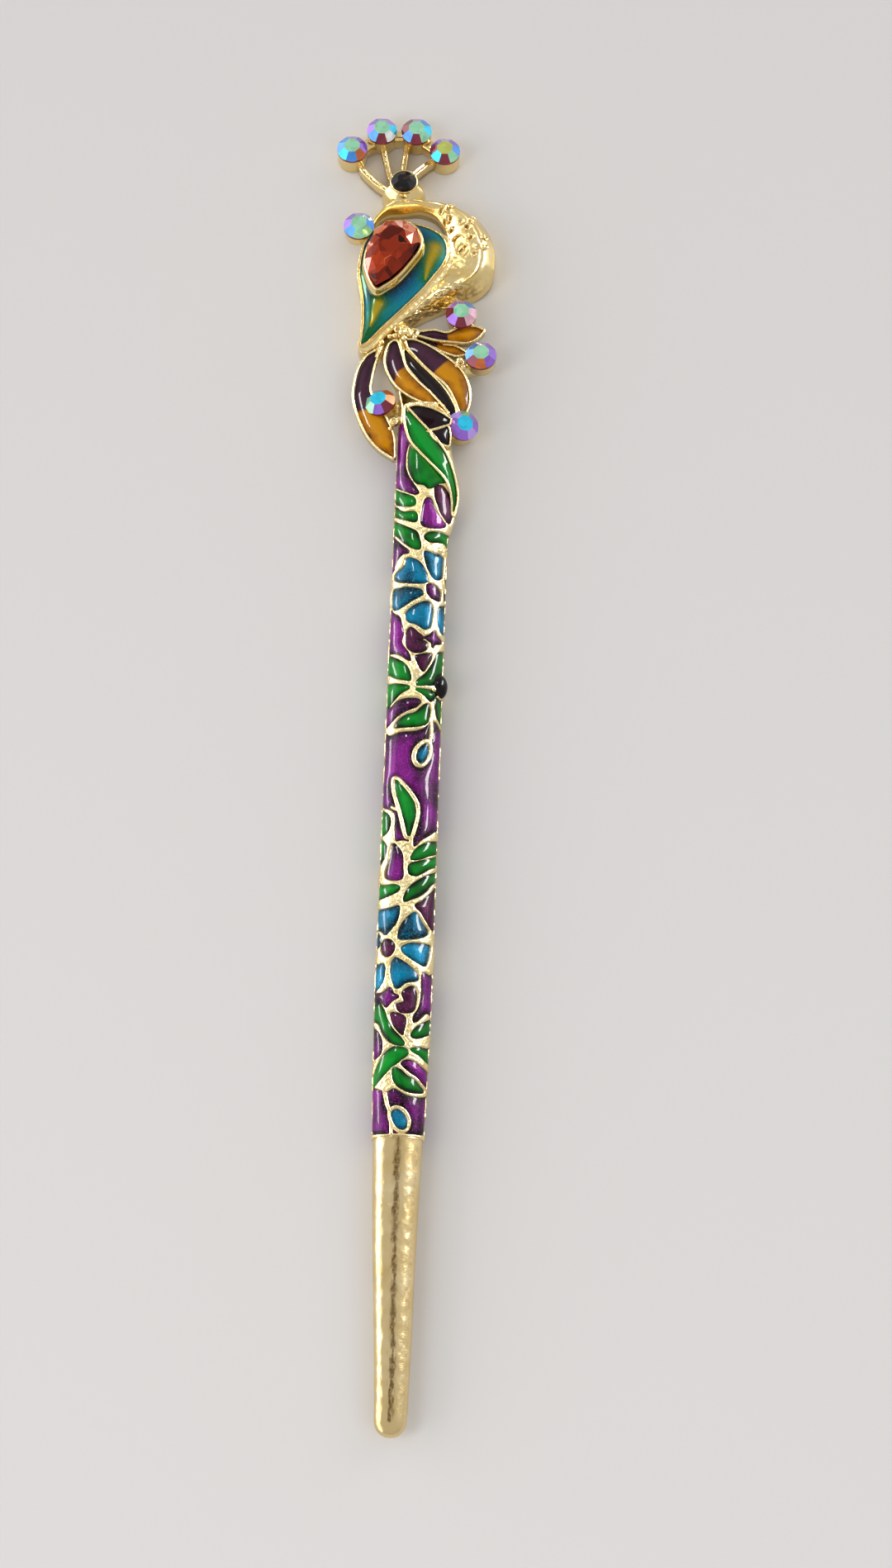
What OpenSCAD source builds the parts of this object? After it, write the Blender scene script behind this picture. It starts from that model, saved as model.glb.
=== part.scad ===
// Hair stick with a peacock head, lying on its back.
// One gilt casting carries enamel cells on the shaft, a fan of enamelled petals,
// a bird with a pear-cut stone for its breast, and a crest of four round stones.
// The tip points to -Y, the crest to +Y, and the decorated face looks up.

/* [Shaft] */
// Width of the enamelled shaft over its gold walls
shaft_w = 7.0; // [6.8:0.1:7.2]
// Thickness of the enamelled shaft over its gold walls
shaft_t = 4.7; // [4.5:0.1:4.9]
// Depth of the enamel cells below the top of the walls
cell_depth = 0.5; // [0.4:0.05:0.6]
// Distance from the tip to the end of the plain gold sleeve
sleeve_l = 35.6; // [35.2:0.1:35.9]
// Width of the plain tip where its rounded end begins
tip_w = 3.9; // [3.6:0.1:4.2]
// Width of the plain sleeve where it meets the enamel
sleeve_w = 6.1; // [5.9:0.1:6.4]

/* [Enamel] */
// Clearance between an enamel piece and the gold around it
gap = 0.06; // [0.05:0.01:0.08]
// Height of an enamel piece's middle over its own edge
swell = 0.14; // [0.06:0.02:0.2]
// Width of the gold rim around a leaf or bud that stands in open ground
rim_w = 0.5; // [0.4:0.05:0.6]

/* [Stones] */
// Diameter of the round stones of the crest and the petals
stone_d = 4.0; // [3.8:0.1:4.1]
// Diameter of the black eye stone
eye_d = 3.2; // [3:0.1:3.4]
// Width of the flat table of a stone, as a part of its diameter
table_part = 0.54; // [0.48:0.02:0.6]
// Height of a stone's crown, as a part of its diameter
crown_part = 0.24; // [0.18:0.02:0.28]

/* [Head] */
// Height of the rims of the crest cups
crest_h = 2.5; // [2.3:0.1:2.8]
// Height of the rim of the eye cup
eye_h = 4.1; // [3.9:0.1:4.3]
// Height of the gold wall that holds the pear-cut stone
pear_h = 5.6; // [5.3:0.1:5.8]
// Width of the gold walls around the petals
petal_wall = 0.4; // [0.35:0.05:0.45]

/* [Hidden] */

gold = "#d9c48a";
half_w = shaft_w / 2;
half_t = shaft_t / 2;
axis_z = half_t;
enamel_end = 131;
// How far the pattern slides along the shaft for each mm that it drops down the flank
slide = 0.5;
// Steps along a motif, and along a small one
fine = 5;
coarse = 4;
cup_wall_r = stone_d / 2 + 0.06;

// The round stones: x, y, height of the cup's rim, tilt about x and y, foot of the cup
CREST = [
    [-10.95, 174.7, crest_h, 0, 0, 0],
    [-7.13, 177.7, crest_h, 0, 0, 0],
    [-2.55, 177.75, crest_h, 0, 0, 0],
    [1.3, 174.7, crest_h, 0, 0, 0]];
BEAK = [-9.55, 162.15, 3.2, 0, 0, 1.6];
EYE = [-3.9, 168.9, eye_h, 0, 0, 0];
PETAL_STONES = [
    [4.2, 148.5, 3.9, 0, 0, 2.2],
    [6.9, 142.5, 3.6, 0, 0, 1.9],
    [4.9, 132.2, 3.3, 8, 16, 1.2],
    [-5.8, 135.3, 3.3, -8, -14, 1.6]];

// The extents that set the origin, under the middle of the whole stick
x_min = CREST[0][0] - cup_wall_r;
x_max = PETAL_STONES[1][0] + cup_wall_r;
y_max = CREST[2][1] + cup_wall_r;
mid_x = (x_min + x_max) / 2;
mid_y = y_max / 2;

// A motif is a strip between two ends, as broad as w at its widest and bowed by bend
// to the left of its way: x0, y0, x1, y1, w, bend, p, q. The end of p or q near 1 is
// sharp, and near 0 it is blunt. Cells on the shaft: kind, colour, motif.
// Kind: c = a cell in the gold, o = open ground, r = a rimmed motif in open ground.
CELLS = [
    ["c", "p", [-2.6, 131.2, -2.35, 121.9, 1.6, -0.6, 0.5, 0.25]],
    ["c", "m", [2.4, 122.6, 3.4, 117.3, 1.2, 0.3, 0.4, 0.5]],
    ["c", "m", [1.1, 121, 1.6, 116.8, 2.5, 0, 0.7, 0.12]],
    ["c", "g", [-1.6, 127.4, 1.1, 122.8, 2.1, -0.3, 0.6, 0.25]],
    ["c", "g", [-0.85, 120.4, -3.35, 120.7, 1.8, 0, 0.2, 0.15]],
    ["c", "g", [-0.6, 118.0, -3.35, 118.6, 1.2, 0, 0.15, 0.15]],
    ["c", "g", [0.1, 113.7, -3.25, 116.3, 1.9, 0, 0.35, 0.2]],
    ["c", "g", [0.5, 115.2, 3.25, 115.1, 1.4, 0, 0.4, 0.15]],
    ["c", "p", [-1.4, 113.1, -3.2, 112.9, 2.6, 0, 0.8, 0.2]],
    ["c", "b", [-1.1, 112.2, -0.8, 108.8, 3.6, 0, 0.6, 0.12]],
    ["c", "b", [2.6, 109.3, 1.3, 113.1, 2.3, 0, 0.45, 0.15]],
    ["c", "b", [0.6, 107.4, -2.9, 106.2, 2.8, 0, 0.5, 0.15]],
    ["c", "b", [-1.4, 103.9, 1.9, 104.3, 3.4, 0, 0.5, 0.2]],
    ["c", "b", [2.9, 105.4, 3.1, 101.8, 0.6, 0, 0.5, 0.5]],
    ["c", "m", [1.6, 108.4, 2.5, 106.4, 1.2, 0, 0.4, 0.4]],
    ["c", "m", [-0.8, 102.2, 0.9, 99.3, 2.0, -0.3, 0.4, 0.3]],
    ["c", "p", [1.5, 101.1, 3.2, 100.5, 1.5, 0, 1, 1]],
    ["c", "p", [-2.7, 103.5, -1.7, 98.5, 1.4, -0.3, 0.25, 0.7]],
    ["c", "m", [1.0, 96.6, 1.05, 98.5, 1.6, 0, 0.8, 0.12]],
    ["c", "g", [-0.5, 95.1, -3.2, 97.2, 2.2, -0.15, 0.6, 0.15]],
    ["c", "g", [-0.5, 94.1, -3.2, 92.4, 1.8, -0.3, 0.7, 0.3]],
    ["c", "g", [0.3, 94.6, 2.5, 96.3, 1.5, -0.1, 0.5, 0.5]],
    ["c", "g", [3.0, 98.7, 3.1, 96.6, 0.6, 0, 0.5, 0.5]],
    ["c", "g", [0.3, 93.7, 2.3, 92.8, 0.9, 0.15, 0.4, 0.5]],
    ["c", "p", [0.9, 92.3, -3.0, 89.9, 1.1, -0.5, 0.4, 0.5]],
    ["c", "g", [-2.2, 88.8, 2.1, 90.8, 2.1, -0.1, 0.8, 0.2]],
    ["o", "p", [-0.9, 88.2, 1.2, 74.9, 7.4, 0, 0.07, 0.07]],
    ["r", "b", [0.55, 83.8, 2.0, 86.4, 1.35, 0, 0.5, 0.5]],
    ["r", "g", [-2.0, 81.6, 0, 73.9, 1.7, 0.7, 0.7, 0.6]],
    ["r", "g", [-3.0, 76.6, -3.1, 73.9, 0.9, 0, 0.35, 0.5]],
    ["c", "g", [-2.85, 72.9, -3.2, 70.1, 0.8, 0, 0.5, 0.5]],
    ["c", "p", [-1.9, 72.6, -1.5, 68.3, 1.6, 0, 0.6, 0.15]],
    ["c", "g", [0.3, 71.2, 2.4, 72.2, 1.5, 0, 0.35, 0.2]],
    ["c", "g", [0.1, 69.4, 2.9, 70.2, 1.5, 0, 0.2, 0.2]],
    ["c", "g", [-0.2, 65.4, 2.9, 68.1, 1.7, -0.1, 0.55, 0.35]],
    ["c", "g", [-0.9, 66.9, -3.3, 66.3, 1.3, 0, 0.35, 0.25]],
    ["c", "p", [1.8, 64.8, 3.2, 64.6, 2.8, 0, 0.8, 0.15]],
    ["c", "b", [-2.3, 60.9, -1.5, 64.5, 1.8, 0, 0.4, 0.25]],
    ["c", "b", [1.2, 63.8, 0.9, 60.6, 3.2, 0, 0.45, 0.12]],
    ["c", "b", [-0.3, 59.3, 3.0, 58.6, 2.1, 0, 0.4, 0.25]],
    ["c", "b", [1.7, 55.5, -1.4, 56.1, 3.3, 0, 0.5, 0.15]],
    ["c", "b", [-2.7, 57, -3.2, 53.9, 0.8, 0, 0.5, 0.5]],
    ["c", "m", [-2.2, 60.2, -2.0, 58.2, 1.4, 0, 0.45, 0.45]],
    ["c", "p", [-3.2, 52.8, -1.2, 53.2, 1.7, 0, 1, 1]],
    ["c", "m", [1.2, 54.1, 0.2, 51.1, 1.7, 0.3, 0.35, 0.3]],
    ["c", "m", [0, 48.5, -0.45, 50.6, 1.4, 0, 0.7, 0.12]],
    ["c", "p", [2.6, 55.8, 1.5, 50.0, 0.9, 0.6, 0.35, 0.7]],
    ["c", "g", [-3.0, 51.8, 0.2, 47.1, 1.3, -0.8, 0.3, 0.6]],
    ["c", "g", [0.8, 45.9, -3.2, 41.3, 1.3, -1.0, 0.45, 0.7]],
    ["c", "g", [1.4, 47.9, 3.2, 49.4, 1.2, 0, 0.5, 0.5]],
    ["c", "g", [1.4, 46.2, 3.2, 45.8, 0.9, 0, 0.7, 0.2]],
    ["c", "p", [-3.1, 48.0, -3.0, 45.2, 0.8, 0, 0.4, 0.4]],
    ["c", "p", [0.4, 44.4, 3.0, 42.5, 0.9, 0.2, 0.6, 0.3]],
    ["c", "g", [-0.9, 43.7, 2.8, 40.9, 1.5, -0.3, 0.35, 0.7]],
    ["o", "p", [0.3, 40.8, -0.3, 36.4, 6.8, 0, 0.09, 0.06]],
    ["r", "b", [-0.8, 39, 1.0, 36.4, 1.8, 0, 0.45, 0.45]]];

// Petals and leaf of the head: motif, height at its first end, height at its last end
PETALS = [
    [[-6.3, 143.1, -3.7, 127.6, 2.8, -2.75, 0.6, 0.45], 3.0, 3.6],
    [[-4.6, 144.0, 2.7, 133.8, 2.5, -1.6, 0.5, 0.75], 3.9, 4.5],
    [[-2.9, 142.6, 3.7, 133.3, 1.7, 0.5, 0.7, 0.4], 3.5, 4.1],
    [[-2.7, 143.9, 4.9, 133.8, 2.8, 2.0, 0.55, 0.45], 3.7, 3.6],
    [[-1.4, 145.6, 6.9, 146.0, 1.8, -0.6, 0.5, 0.45], 3.9, 3.5],
    [[-0.3, 144.2, 4.9, 142.5, 1.0, 0.3, 0.5, 0.5], 3.1, 3.1],
    [[-1.7, 134.9, 2.8, 133.0, 1.5, -0.3, 0.5, 0.35], 4.9, 4.5],
    [[1.2, 131.7, 3.0, 128.6, 1.8, 0, 0.3, 0.6], 4.2, 3.7]];
LONG_LEAF = [[-2.1, 133.6, 3.9, 118.8, 2.6, 0.7, 0.6, 0.7], 5.2, 3.8];
BODY = [-8.5, 143.9, -2.0, 162.4, 10.0, 0, 1.25, 0.38];
PEAR = [-6.9, 151.9, -4.4, 161.6, 6.6, -0.2, 0.8, 0.42];

// Limbs of the casting: x, y, height of the middle, half width, half height
CRESCENT = [
    [-3.9, 165.4, 1.6, 0.9, 1.4], [-1.4, 165.6, 1.7, 1.05, 1.8], [0.9, 165.0, 1.8, 1.15, 2.1],
    [2.7, 163.3, 1.9, 1.8, 2.4], [4.2, 161.3, 2.0, 2.6, 2.7], [5.0, 159.0, 2.0, 3.0, 2.9],
    [5.0, 156.4, 2.0, 3.25, 3.0], [4.9, 154.0, 2.0, 3.1, 2.9], [4.8, 152.0, 1.9, 2.5, 2.5],
    [4.75, 150.6, 1.8, 1.3, 1.9]];
BAND = [
    [4.4, 153.2, 1.6, 2.4, 2.3], [2.0, 151.5, 1.6, 1.9, 2.2], [0.2, 149.8, 1.6, 1.4, 2.0],
    [-1.7, 148.0, 1.6, 1.1, 1.9], [-3.4, 146.0, 1.6, 1.0, 2.0], [-3.6, 143.5, 1.6, 1.2, 2.1]];
SKULL = [
    [-3.9, 165.0, 1.8, 2.1, 1.9], [-3.9, 166.6, 1.9, 2.3, 2.2], [-3.9, 168.5, 1.9, 2.4, 2.1],
    [-3.9, 170.4, 1.8, 1.7, 1.7]];
THROAT = [
    [-2.6, 165.7, 1.8, 0.8, 1.7], [-5.0, 165.4, 1.8, 0.8, 1.7], [-6.8, 164.5, 1.7, 0.8, 1.6],
    [-8.2, 163.0, 1.6, 0.8, 1.5]];
ARMS = [
    [[-10.5, 173.4, 0.9, 0.5, 1.2], [-8.4, 169.9, 0.9, 0.48, 1.2], [-6.0, 166.8, 1.0, 0.6, 1.3]],
    [[-7.1, 176.4, 0.9, 0.5, 1.2], [-6.6, 172.5, 0.9, 0.48, 1.2], [-5.5, 169.0, 1.0, 0.6, 1.3]],
    [[-3.0, 176.4, 0.9, 0.5, 1.2], [-3.9, 172.6, 0.9, 0.48, 1.2], [-4.0, 169.8, 1.0, 0.6, 1.3]],
    [[0.5, 173.7, 0.9, 0.5, 1.2], [-1.5, 171.3, 0.9, 0.48, 1.2], [-2.9, 168.9, 1.0, 0.6, 1.3]]];
// Rings chased on the crescent: place along it in steps of its run, and across it
RINGS = [[2.4, 0.4], [2.8, -0.3], [3.6, 0.45], [3.8, -0.1], [4.3, -0.55], [4.5, 0.3],
    [5.1, -0.3], [5.2, 0.4]];

// Half width of the enamelled shaft, which draws in toward the sleeve
function shaft_half(y) = half_w * lookup(y, [[35.6, 0.9], [42, 0.94], [52, 1]]);
// Breadth of a motif at t, 1 at its widest
function peak(p, q) = pow(p / (p + q), p) * pow(q / (p + q), q);
function breadth(t, p, q) = (t <= 0 || t >= 1) ? 0 : pow(t, p) * pow(1 - t, q) / peak(p, q);
function spaced(k, n) = (1 - cos(180 * k / n)) / 2;
// A motif grown by d all round: its ends move out further where they are sharp
function grown(m, d) =
    let (l = norm([m[2] - m[0], m[3] - m[1]]), u = [m[2] - m[0], m[3] - m[1]] / l,
        a = d * (0.7 + 0.9 * m[6]), b = d * (0.7 + 0.9 * m[7]))
    [m[0] - u[0] * a, m[1] - u[1] * a, m[2] + u[0] * b, m[3] + u[1] * b,
        m[4] + 2 * d, m[5], m[6], m[7]];
// The point of a motif at t along it and s across it, from -1 to 1
function on_motif(m, t, s) =
    let (v = [m[2] - m[0], m[3] - m[1]], l = norm(v), u = v / l, n = [-u[1], u[0]],
        c = [m[0], m[1]] + v * t + n * (4 * m[5] * t * (1 - t)),
        w = u * l + n * (4 * m[5] * (1 - 2 * t)), w1 = w / norm(w))
    c + [-w1[1], w1[0]] * (s * m[4] / 2 * breadth(t, m[6], m[7]));
// That point laid on the shaft, h above the top of its gold walls
function on_shaft(c, h) =
    let (w = shaft_half(c[1]), f = max(-0.97, min(0.97, c[0] / w)), z = sqrt(1 - f * f))
    [(w + h) * f, c[1] + slide * half_t * (1 - z), axis_z + (w * half_t / half_w + h) * z];

// Points and faces of a motif's solid, in n steps along it and c points across. base is
// [0] on the shaft, and [z0, z1] on a plate whose height runs from z0 to z1. lo and hi
// are its lower and upper faces, and dome raises the middle of the upper one.
function solid_point(m, base, t, s, h) =
    let (c = on_motif(m, t, s))
    len(base) == 1 ? on_shaft(c, h) : [c[0], c[1], base[0] + (base[1] - base[0]) * t + h];
function layer(m, base, n, c, h, dome) = concat(
    [solid_point(m, base, 0, 0, h)],
    [for (k = [1:n - 1]) for (j = [0:c - 1]) let (t = spaced(k, n), s = 2 * j / (c - 1) - 1)
        solid_point(m, base, t, s, h + dome * (1 - s * s) * min(1, 4 * t * (1 - t)))],
    [solid_point(m, base, 1, 0, h)]);
function rim_loop(n, c) = concat([0], [for (k = [1:n - 1]) 1 + (k - 1) * c],
    [(n - 1) * c + 1], [for (k = [n - 1:-1:1]) k * c]);
module motif_solid(m, base, lo, hi, n, c, dome) {
    size = (n - 1) * c + 2;
    r = rim_loop(n, c);
    upper = concat(
        [for (j = [0:c - 2]) [2 + j, 1 + j, 0]],
        [for (k = [0:n - 3]) for (j = [0:c - 2])
            [2 + (k + 1) * c + j, 1 + (k + 1) * c + j, 1 + k * c + j]],
        [for (k = [0:n - 3]) for (j = [0:c - 2])
            [2 + k * c + j, 2 + (k + 1) * c + j, 1 + k * c + j]],
        [for (j = [0:c - 2]) [2 + (n - 2) * c + j, size - 1, 1 + (n - 2) * c + j]]);
    polyhedron(
        points = concat(layer(m, base, n, c, hi, dome), layer(m, base, n, c, lo, 0)),
        faces = concat(
            upper,
            [for (f = upper) [f[2] + size, f[1] + size, f[0] + size]],
            [for (i = [0:len(r) - 1]) let (x = r[i], y = r[(i + 1) % len(r)]) [x, y, x + size]],
            [for (i = [0:len(r) - 1]) let (x = r[i], y = r[(i + 1) % len(r)])
                [y, y + size, x + size]]),
        convexity = 6);
}

// Steps along and across a shaft cell, by its size. grow widens it and keeps the steps.
function steps(m) = (m[4] < 1.3) ? coarse : fine;
function across(m) = m[4] > 5 ? 6 : m[4] > 3.2 ? 4 : m[4] > 1.6 ? 3 : 2;
function room(cell) = cell[0] == "c" ? 0.13 : 0;
module shaft_piece(m, grow, lo, hi, dome)
    motif_solid(grown(m, grow), [0], lo, hi, steps(m), across(m), dome);
module shaft_enamel(colour) difference() {
    for (cell = CELLS) if (cell[1] == colour && cell[0] != "o")
        shaft_piece(cell[2], room(cell) - 1.3 * gap, -cell_depth + 0.2, -0.1, swell);
    head_plate(LONG_LEAF, petal_wall + gap, -2.4);
}
module open_ground() {
    difference() {
        for (cell = CELLS) if (cell[0] == "o")
            shaft_piece(cell[2], -3 * gap, -cell_depth + 0.2, -0.12, 0);
        for (cell = CELLS) if (cell[0] == "r") shaft_piece(cell[2], rim_w + 2 * gap, -1, 1, 0);
        stems(2 * gap);
    }
}

// A limb of the casting: a run of oval sections square to its way
function way(path, i) =
    let (a = path[max(0, i - 1)], b = path[min(len(path) - 1, i + 1)], v = [b[0] - a[0], b[1] - a[1]])
    v / norm(v);
function on_limb(path, s, f) =
    let (i = floor(s), p = path[i] + (path[i + 1] - path[i]) * (s - i), w = way(path, i))
    [p[0] - w[1] * p[3] * f, p[1] + w[0] * p[3] * f, p[2] + p[4] * sqrt(1 - f * f)];
module limb(path, sides = 10) {
    n = len(path);
    polyhedron(
        points = [for (i = [0:n - 1]) let (p = path[i], w = way(path, i)) for (k = [0:sides - 1])
            [p[0] + w[1] * p[3] * cos(360 * k / sides), p[1] - w[0] * p[3] * cos(360 * k / sides),
                max(0, p[2] + p[4] * sin(360 * k / sides))]],
        faces = concat(
            [[for (k = [sides - 1:-1:0]) k]],
            [[for (k = [0:sides - 1]) (n - 1) * sides + k]],
            [for (i = [0:n - 2]) for (k = [0:sides - 1]) let (l = (k + 1) % sides)
                [i * sides + k, i * sides + l, (i + 1) * sides + k]],
            [for (i = [0:n - 2]) for (k = [0:sides - 1]) let (l = (k + 1) % sides)
                [i * sides + l, (i + 1) * sides + l, (i + 1) * sides + k]]),
        convexity = 4);
}

// A round bar through rows of place, half width and half thickness, lying along y
module turned_bar(rows, sides) {
    n = len(rows);
    polyhedron(
        points = [for (r = rows) for (k = [0:sides - 1])
            [r[1] * cos(360 * k / sides), r[0], axis_z + r[2] * sin(360 * k / sides)]],
        faces = concat(
            [[for (k = [sides - 1:-1:0]) k]],
            [[for (k = [0:sides - 1]) (n - 1) * sides + k]],
            [for (i = [0:n - 2]) for (k = [0:sides - 1]) let (l = (k + 1) % sides, a = i * sides)
                [a + k, a + l, a + sides + l]],
            [for (i = [0:n - 2]) for (k = [0:sides - 1]) let (l = (k + 1) % sides, a = i * sides)
                [a + k, a + sides + l, a + sides + k]]),
        convexity = 2);
}
// The enamelled shaft, d outside the top of its walls
module bar(d, from, to) turned_bar([for (y = [from, 42, 52, to])
    [y, shaft_half(y) + d, shaft_half(y) * half_t / half_w + d]], 24);
// The plain tapered tip with its rounded end
function tip_round(y) = y >= tip_w / 2 ? 1 : sqrt(max(0.001, 1 - pow(1 - y / (tip_w / 2), 2)));
function tip_half(y) = (tip_w + (sleeve_w - tip_w) * y / sleeve_l) / 2 * tip_round(y);
module tip() turned_bar([for (y = concat([for (k = [0:5]) tip_w / 2 * (1 - cos(2 + 17.6 * k))],
    [for (k = [1:5]) tip_w / 2 + (sleeve_l + 0.4 - tip_w / 2) * k / 5]))
    [y, tip_half(y), 0.68 * tip_half(y)]], 18);

// A round stone: an eight-sided table, a sixteen-sided girdle and a point below
module round_stone(d) polyhedron(
    points = concat(
        [for (i = [0:7]) [d * table_part / 2 * cos(45 * i + 22.5), d * table_part / 2 * sin(45 * i + 22.5),
            d * crown_part]],
        [for (j = [0:15]) [d / 2 * cos(22.5 * j), d / 2 * sin(22.5 * j), 0]],
        [[0, 0, -d * 0.32]]),
    faces = concat(
        [[7, 6, 5, 4, 3, 2, 1, 0]],
        [for (i = [0:7]) [i, 9 + 2 * i, 8 + 2 * i]],
        [for (i = [0:7]) [i, 8 + (2 * i + 2) % 16, 9 + 2 * i]],
        [for (i = [0:7]) [i, (i + 1) % 8, 8 + (2 * i + 2) % 16]],
        [for (j = [0:15]) [24, 8 + j, 8 + (j + 1) % 16]]));
module at_seat(s) translate([s[0], s[1], s[2]]) rotate([s[3], s[4], 0]) children();
module cup(s, r, up = 0) at_seat(s) translate([0, 0, s[5] - s[2]])
    cylinder(h = s[2] - s[5] + up, r = r, $fn = 16);
module cup_bore(s, d) at_seat(s) translate([0, 0, -d * 0.3]) cylinder(h = d, r = d / 2 - 0.28, $fn = 12);
// The gold is cut back around each stone
module stone_room(s, d) at_seat(s) cylinder(h = 2, r = d / 2 + 0.12, $fn = 16);
module seated(s, d) at_seat(s) translate([0, 0, 0.28]) round_stone(d);

// The bird's breast stone: a pear outline drawn in to its table and its keel
module pear_ring(k, z) let (m = grown(PEAR, -gap - 0.02), c = on_motif(m, 0.58, 0), n = 7)
    translate([c[0], c[1], z]) linear_extrude(0.01) scale([k, k])
    polygon([for (i = [0:2 * n - 1]) let (t = spaced(i <= n ? i : 2 * n - i, n))
        on_motif(m, t, i <= n ? 1 : -1) - c]);
module pear_stone() color("#b0523a") hull() {
    pear_ring(0.5, pear_h + 1.9);
    pear_ring(1, pear_h - 0.05);
    pear_ring(1, pear_h - 0.35);
    pear_ring(0.35, pear_h - 1.8);
}

// The wrapped stems of the two buds
module stems(d) {
    for (s = [[[2.0, 86.2], [2.9, 88.4]], [[-0.9, 37.6], [-1.7, 39.5]], [[-1.6, 39.1], [-2.3, 42.5]],
        [[-0.95, 37.9], [-0.8, 35.4]]])
        shaft_piece([s[0][0], s[0][1], s[1][0], s[1][1], 0.8, 0, 0.12, 0.12], d, -1, 1, 0);
}

module head_plate(p, d, lo) motif_solid(grown(p[0], d), [p[1], p[2]], lo, 0, fine, 2, 0);
module head_pocket(p) motif_solid(p[0], [p[1], p[2]], -0.6, 1, fine, 2, 0);
module head_enamel(p, dome = 0.3)
    motif_solid(grown(p[0], -1.6 * gap), [p[1], p[2]], -0.6 + 2 * gap, -0.15, fine, 3, dome);

module shaft_walls() difference() {
    union() {
        difference() {
            union() {
                tip();
                bar(0, sleeve_l, enamel_end + 4);
                // The right flank swells where the long leaf leaves the shaft
                limb([[2.6, 127.5, 3.1, 0.9, 1.0], [3.0, 124, 3.1, 1.2, 1.0],
                    [3.3, 121, 3.0, 1.1, 0.9], [2.9, 116.5, 2.9, 0.7, 0.8]], 8);
            }
            for (cell = CELLS) if (cell[0] != "r")
                shaft_piece(cell[2], room(cell), -cell_depth, cell[2][1] > 114 ? 1 : 0.45, 0);
            back_panel(0);
            bead_seat(0);
        }
        intersection() {
            union() {
                for (cell = CELLS) if (cell[0] == "r") shaft_piece(cell[2], rim_w, -1, 1, 0);
                stems(0);
            }
            bar(0, sleeve_l - 0.6, 90);
        }
    }
    for (cell = CELLS) if (cell[0] == "r") shaft_piece(cell[2], 0, -cell_depth, 0.2, 0);
}

// One shallow panel of enamel runs along the back of the shaft; d draws it in all round
module back_panel(d) difference() {
    bar(d > 0 ? -0.06 : 1, sleeve_l + 1.4 + d, enamel_end - 5 - d);
    bar(-0.4 + d, sleeve_l, enamel_end);
    translate([-6, 0, axis_z - 0.45 - d]) cube([12, 200, 8]);
}

// A dark domed bead on the right flank
BEAD = [3.05, 94.9, 3.2];
module bead_seat(d) translate(BEAD) rotate([0, 52, 0]) translate([0, 0, -0.5])
    linear_extrude(3) scale([0.85, 1.55]) circle(1 - d, $fn = 16);
module side_cabochon() color("#241a1e") translate(BEAD) rotate([0, 52, 0]) hull() {
    translate([0, 0, -0.45]) linear_extrude(0.5) scale([0.85, 1.55]) circle(1 - gap, $fn = 16);
    translate([0, 0, 0.3]) linear_extrude(0.05) scale([0.75, 1.4]) circle(0.9, $fn = 12);
    translate([0, 0, 0.6]) linear_extrude(0.05) scale([0.4, 0.8]) circle(0.9, $fn = 8);
}

module bird() {
    translate([0.45, -0.35, 0]) motif_solid(grown(BODY, 0.65), [0.6, 0.6], -0.6, 2.1, 8, 2, 0);
    motif_solid(grown(BODY, 0.35), [1, 1], -0.2, 3.1, 8, 2, 0);
    motif_solid(grown(PEAR, 0.4), [1, 1], -0.4, pear_h - 1, 7, 2, 0);
}
module bird_pockets() {
    difference() {
        motif_solid(BODY, [3, 3], 0.3, 3, 8, 2, 0);
        motif_solid(grown(PEAR, 0.4), [1, 1], -0.4, pear_h + 3, 7, 2, 0);
    }
    motif_solid(grown(PEAR, 0), [1, 1], pear_h - 3, pear_h + 2, 7, 2, 0);
}
module body_enamel() color("#0b7f95") difference() {
    motif_solid(grown(BODY, -1.5 * gap), [3, 3], 0.3 + gap, 1.0, 8, 4, 0.95);
    motif_solid(grown(PEAR, 0.4 + gap), [1, 1], -0.4, pear_h + 3, 7, 2, 0);
}

module casting() color(gold) {
    difference() {
        union() {
            difference() {
                union() {
                    shaft_walls();
                    bird();
                    limb(CRESCENT);
                    limb(BAND);
                    limb(SKULL);
                    limb(THROAT, 8);
                    for (a = ARMS) limb(a, 8);
                    for (i = [0:2]) hull() for (s = [CREST[i], CREST[i + 1]])
                        translate([s[0], s[1], 0]) cylinder(h = 1.6, r = 0.45, $fn = 8);
                    for (p = PETALS) head_plate(p, petal_wall, -1.3);
                    head_plate(LONG_LEAF, petal_wall, -1.7);
                    for (r = RINGS) translate(on_limb(CRESCENT, r[0], r[1]) - [0, 0, 0.5])
                        cylinder(h = 0.66, r1 = 0.75, r2 = 0.5, $fn = 8);
                    posts();
                }
                bird_pockets();
                for (p = PETALS) head_pocket(p);
                head_pocket(LONG_LEAF);
            }
            for (s = concat(CREST, [BEAK], PETAL_STONES)) cup(s, cup_wall_r);
            cup(EYE, eye_d / 2 + 0.25);
        }
        for (s = concat(CREST, [BEAK], PETAL_STONES)) {
            cup_bore(s, stone_d);
            stone_room(s, stone_d);
        }
        cup_bore(EYE, eye_d);
        stone_room(EYE, eye_d);
    }
}

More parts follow.
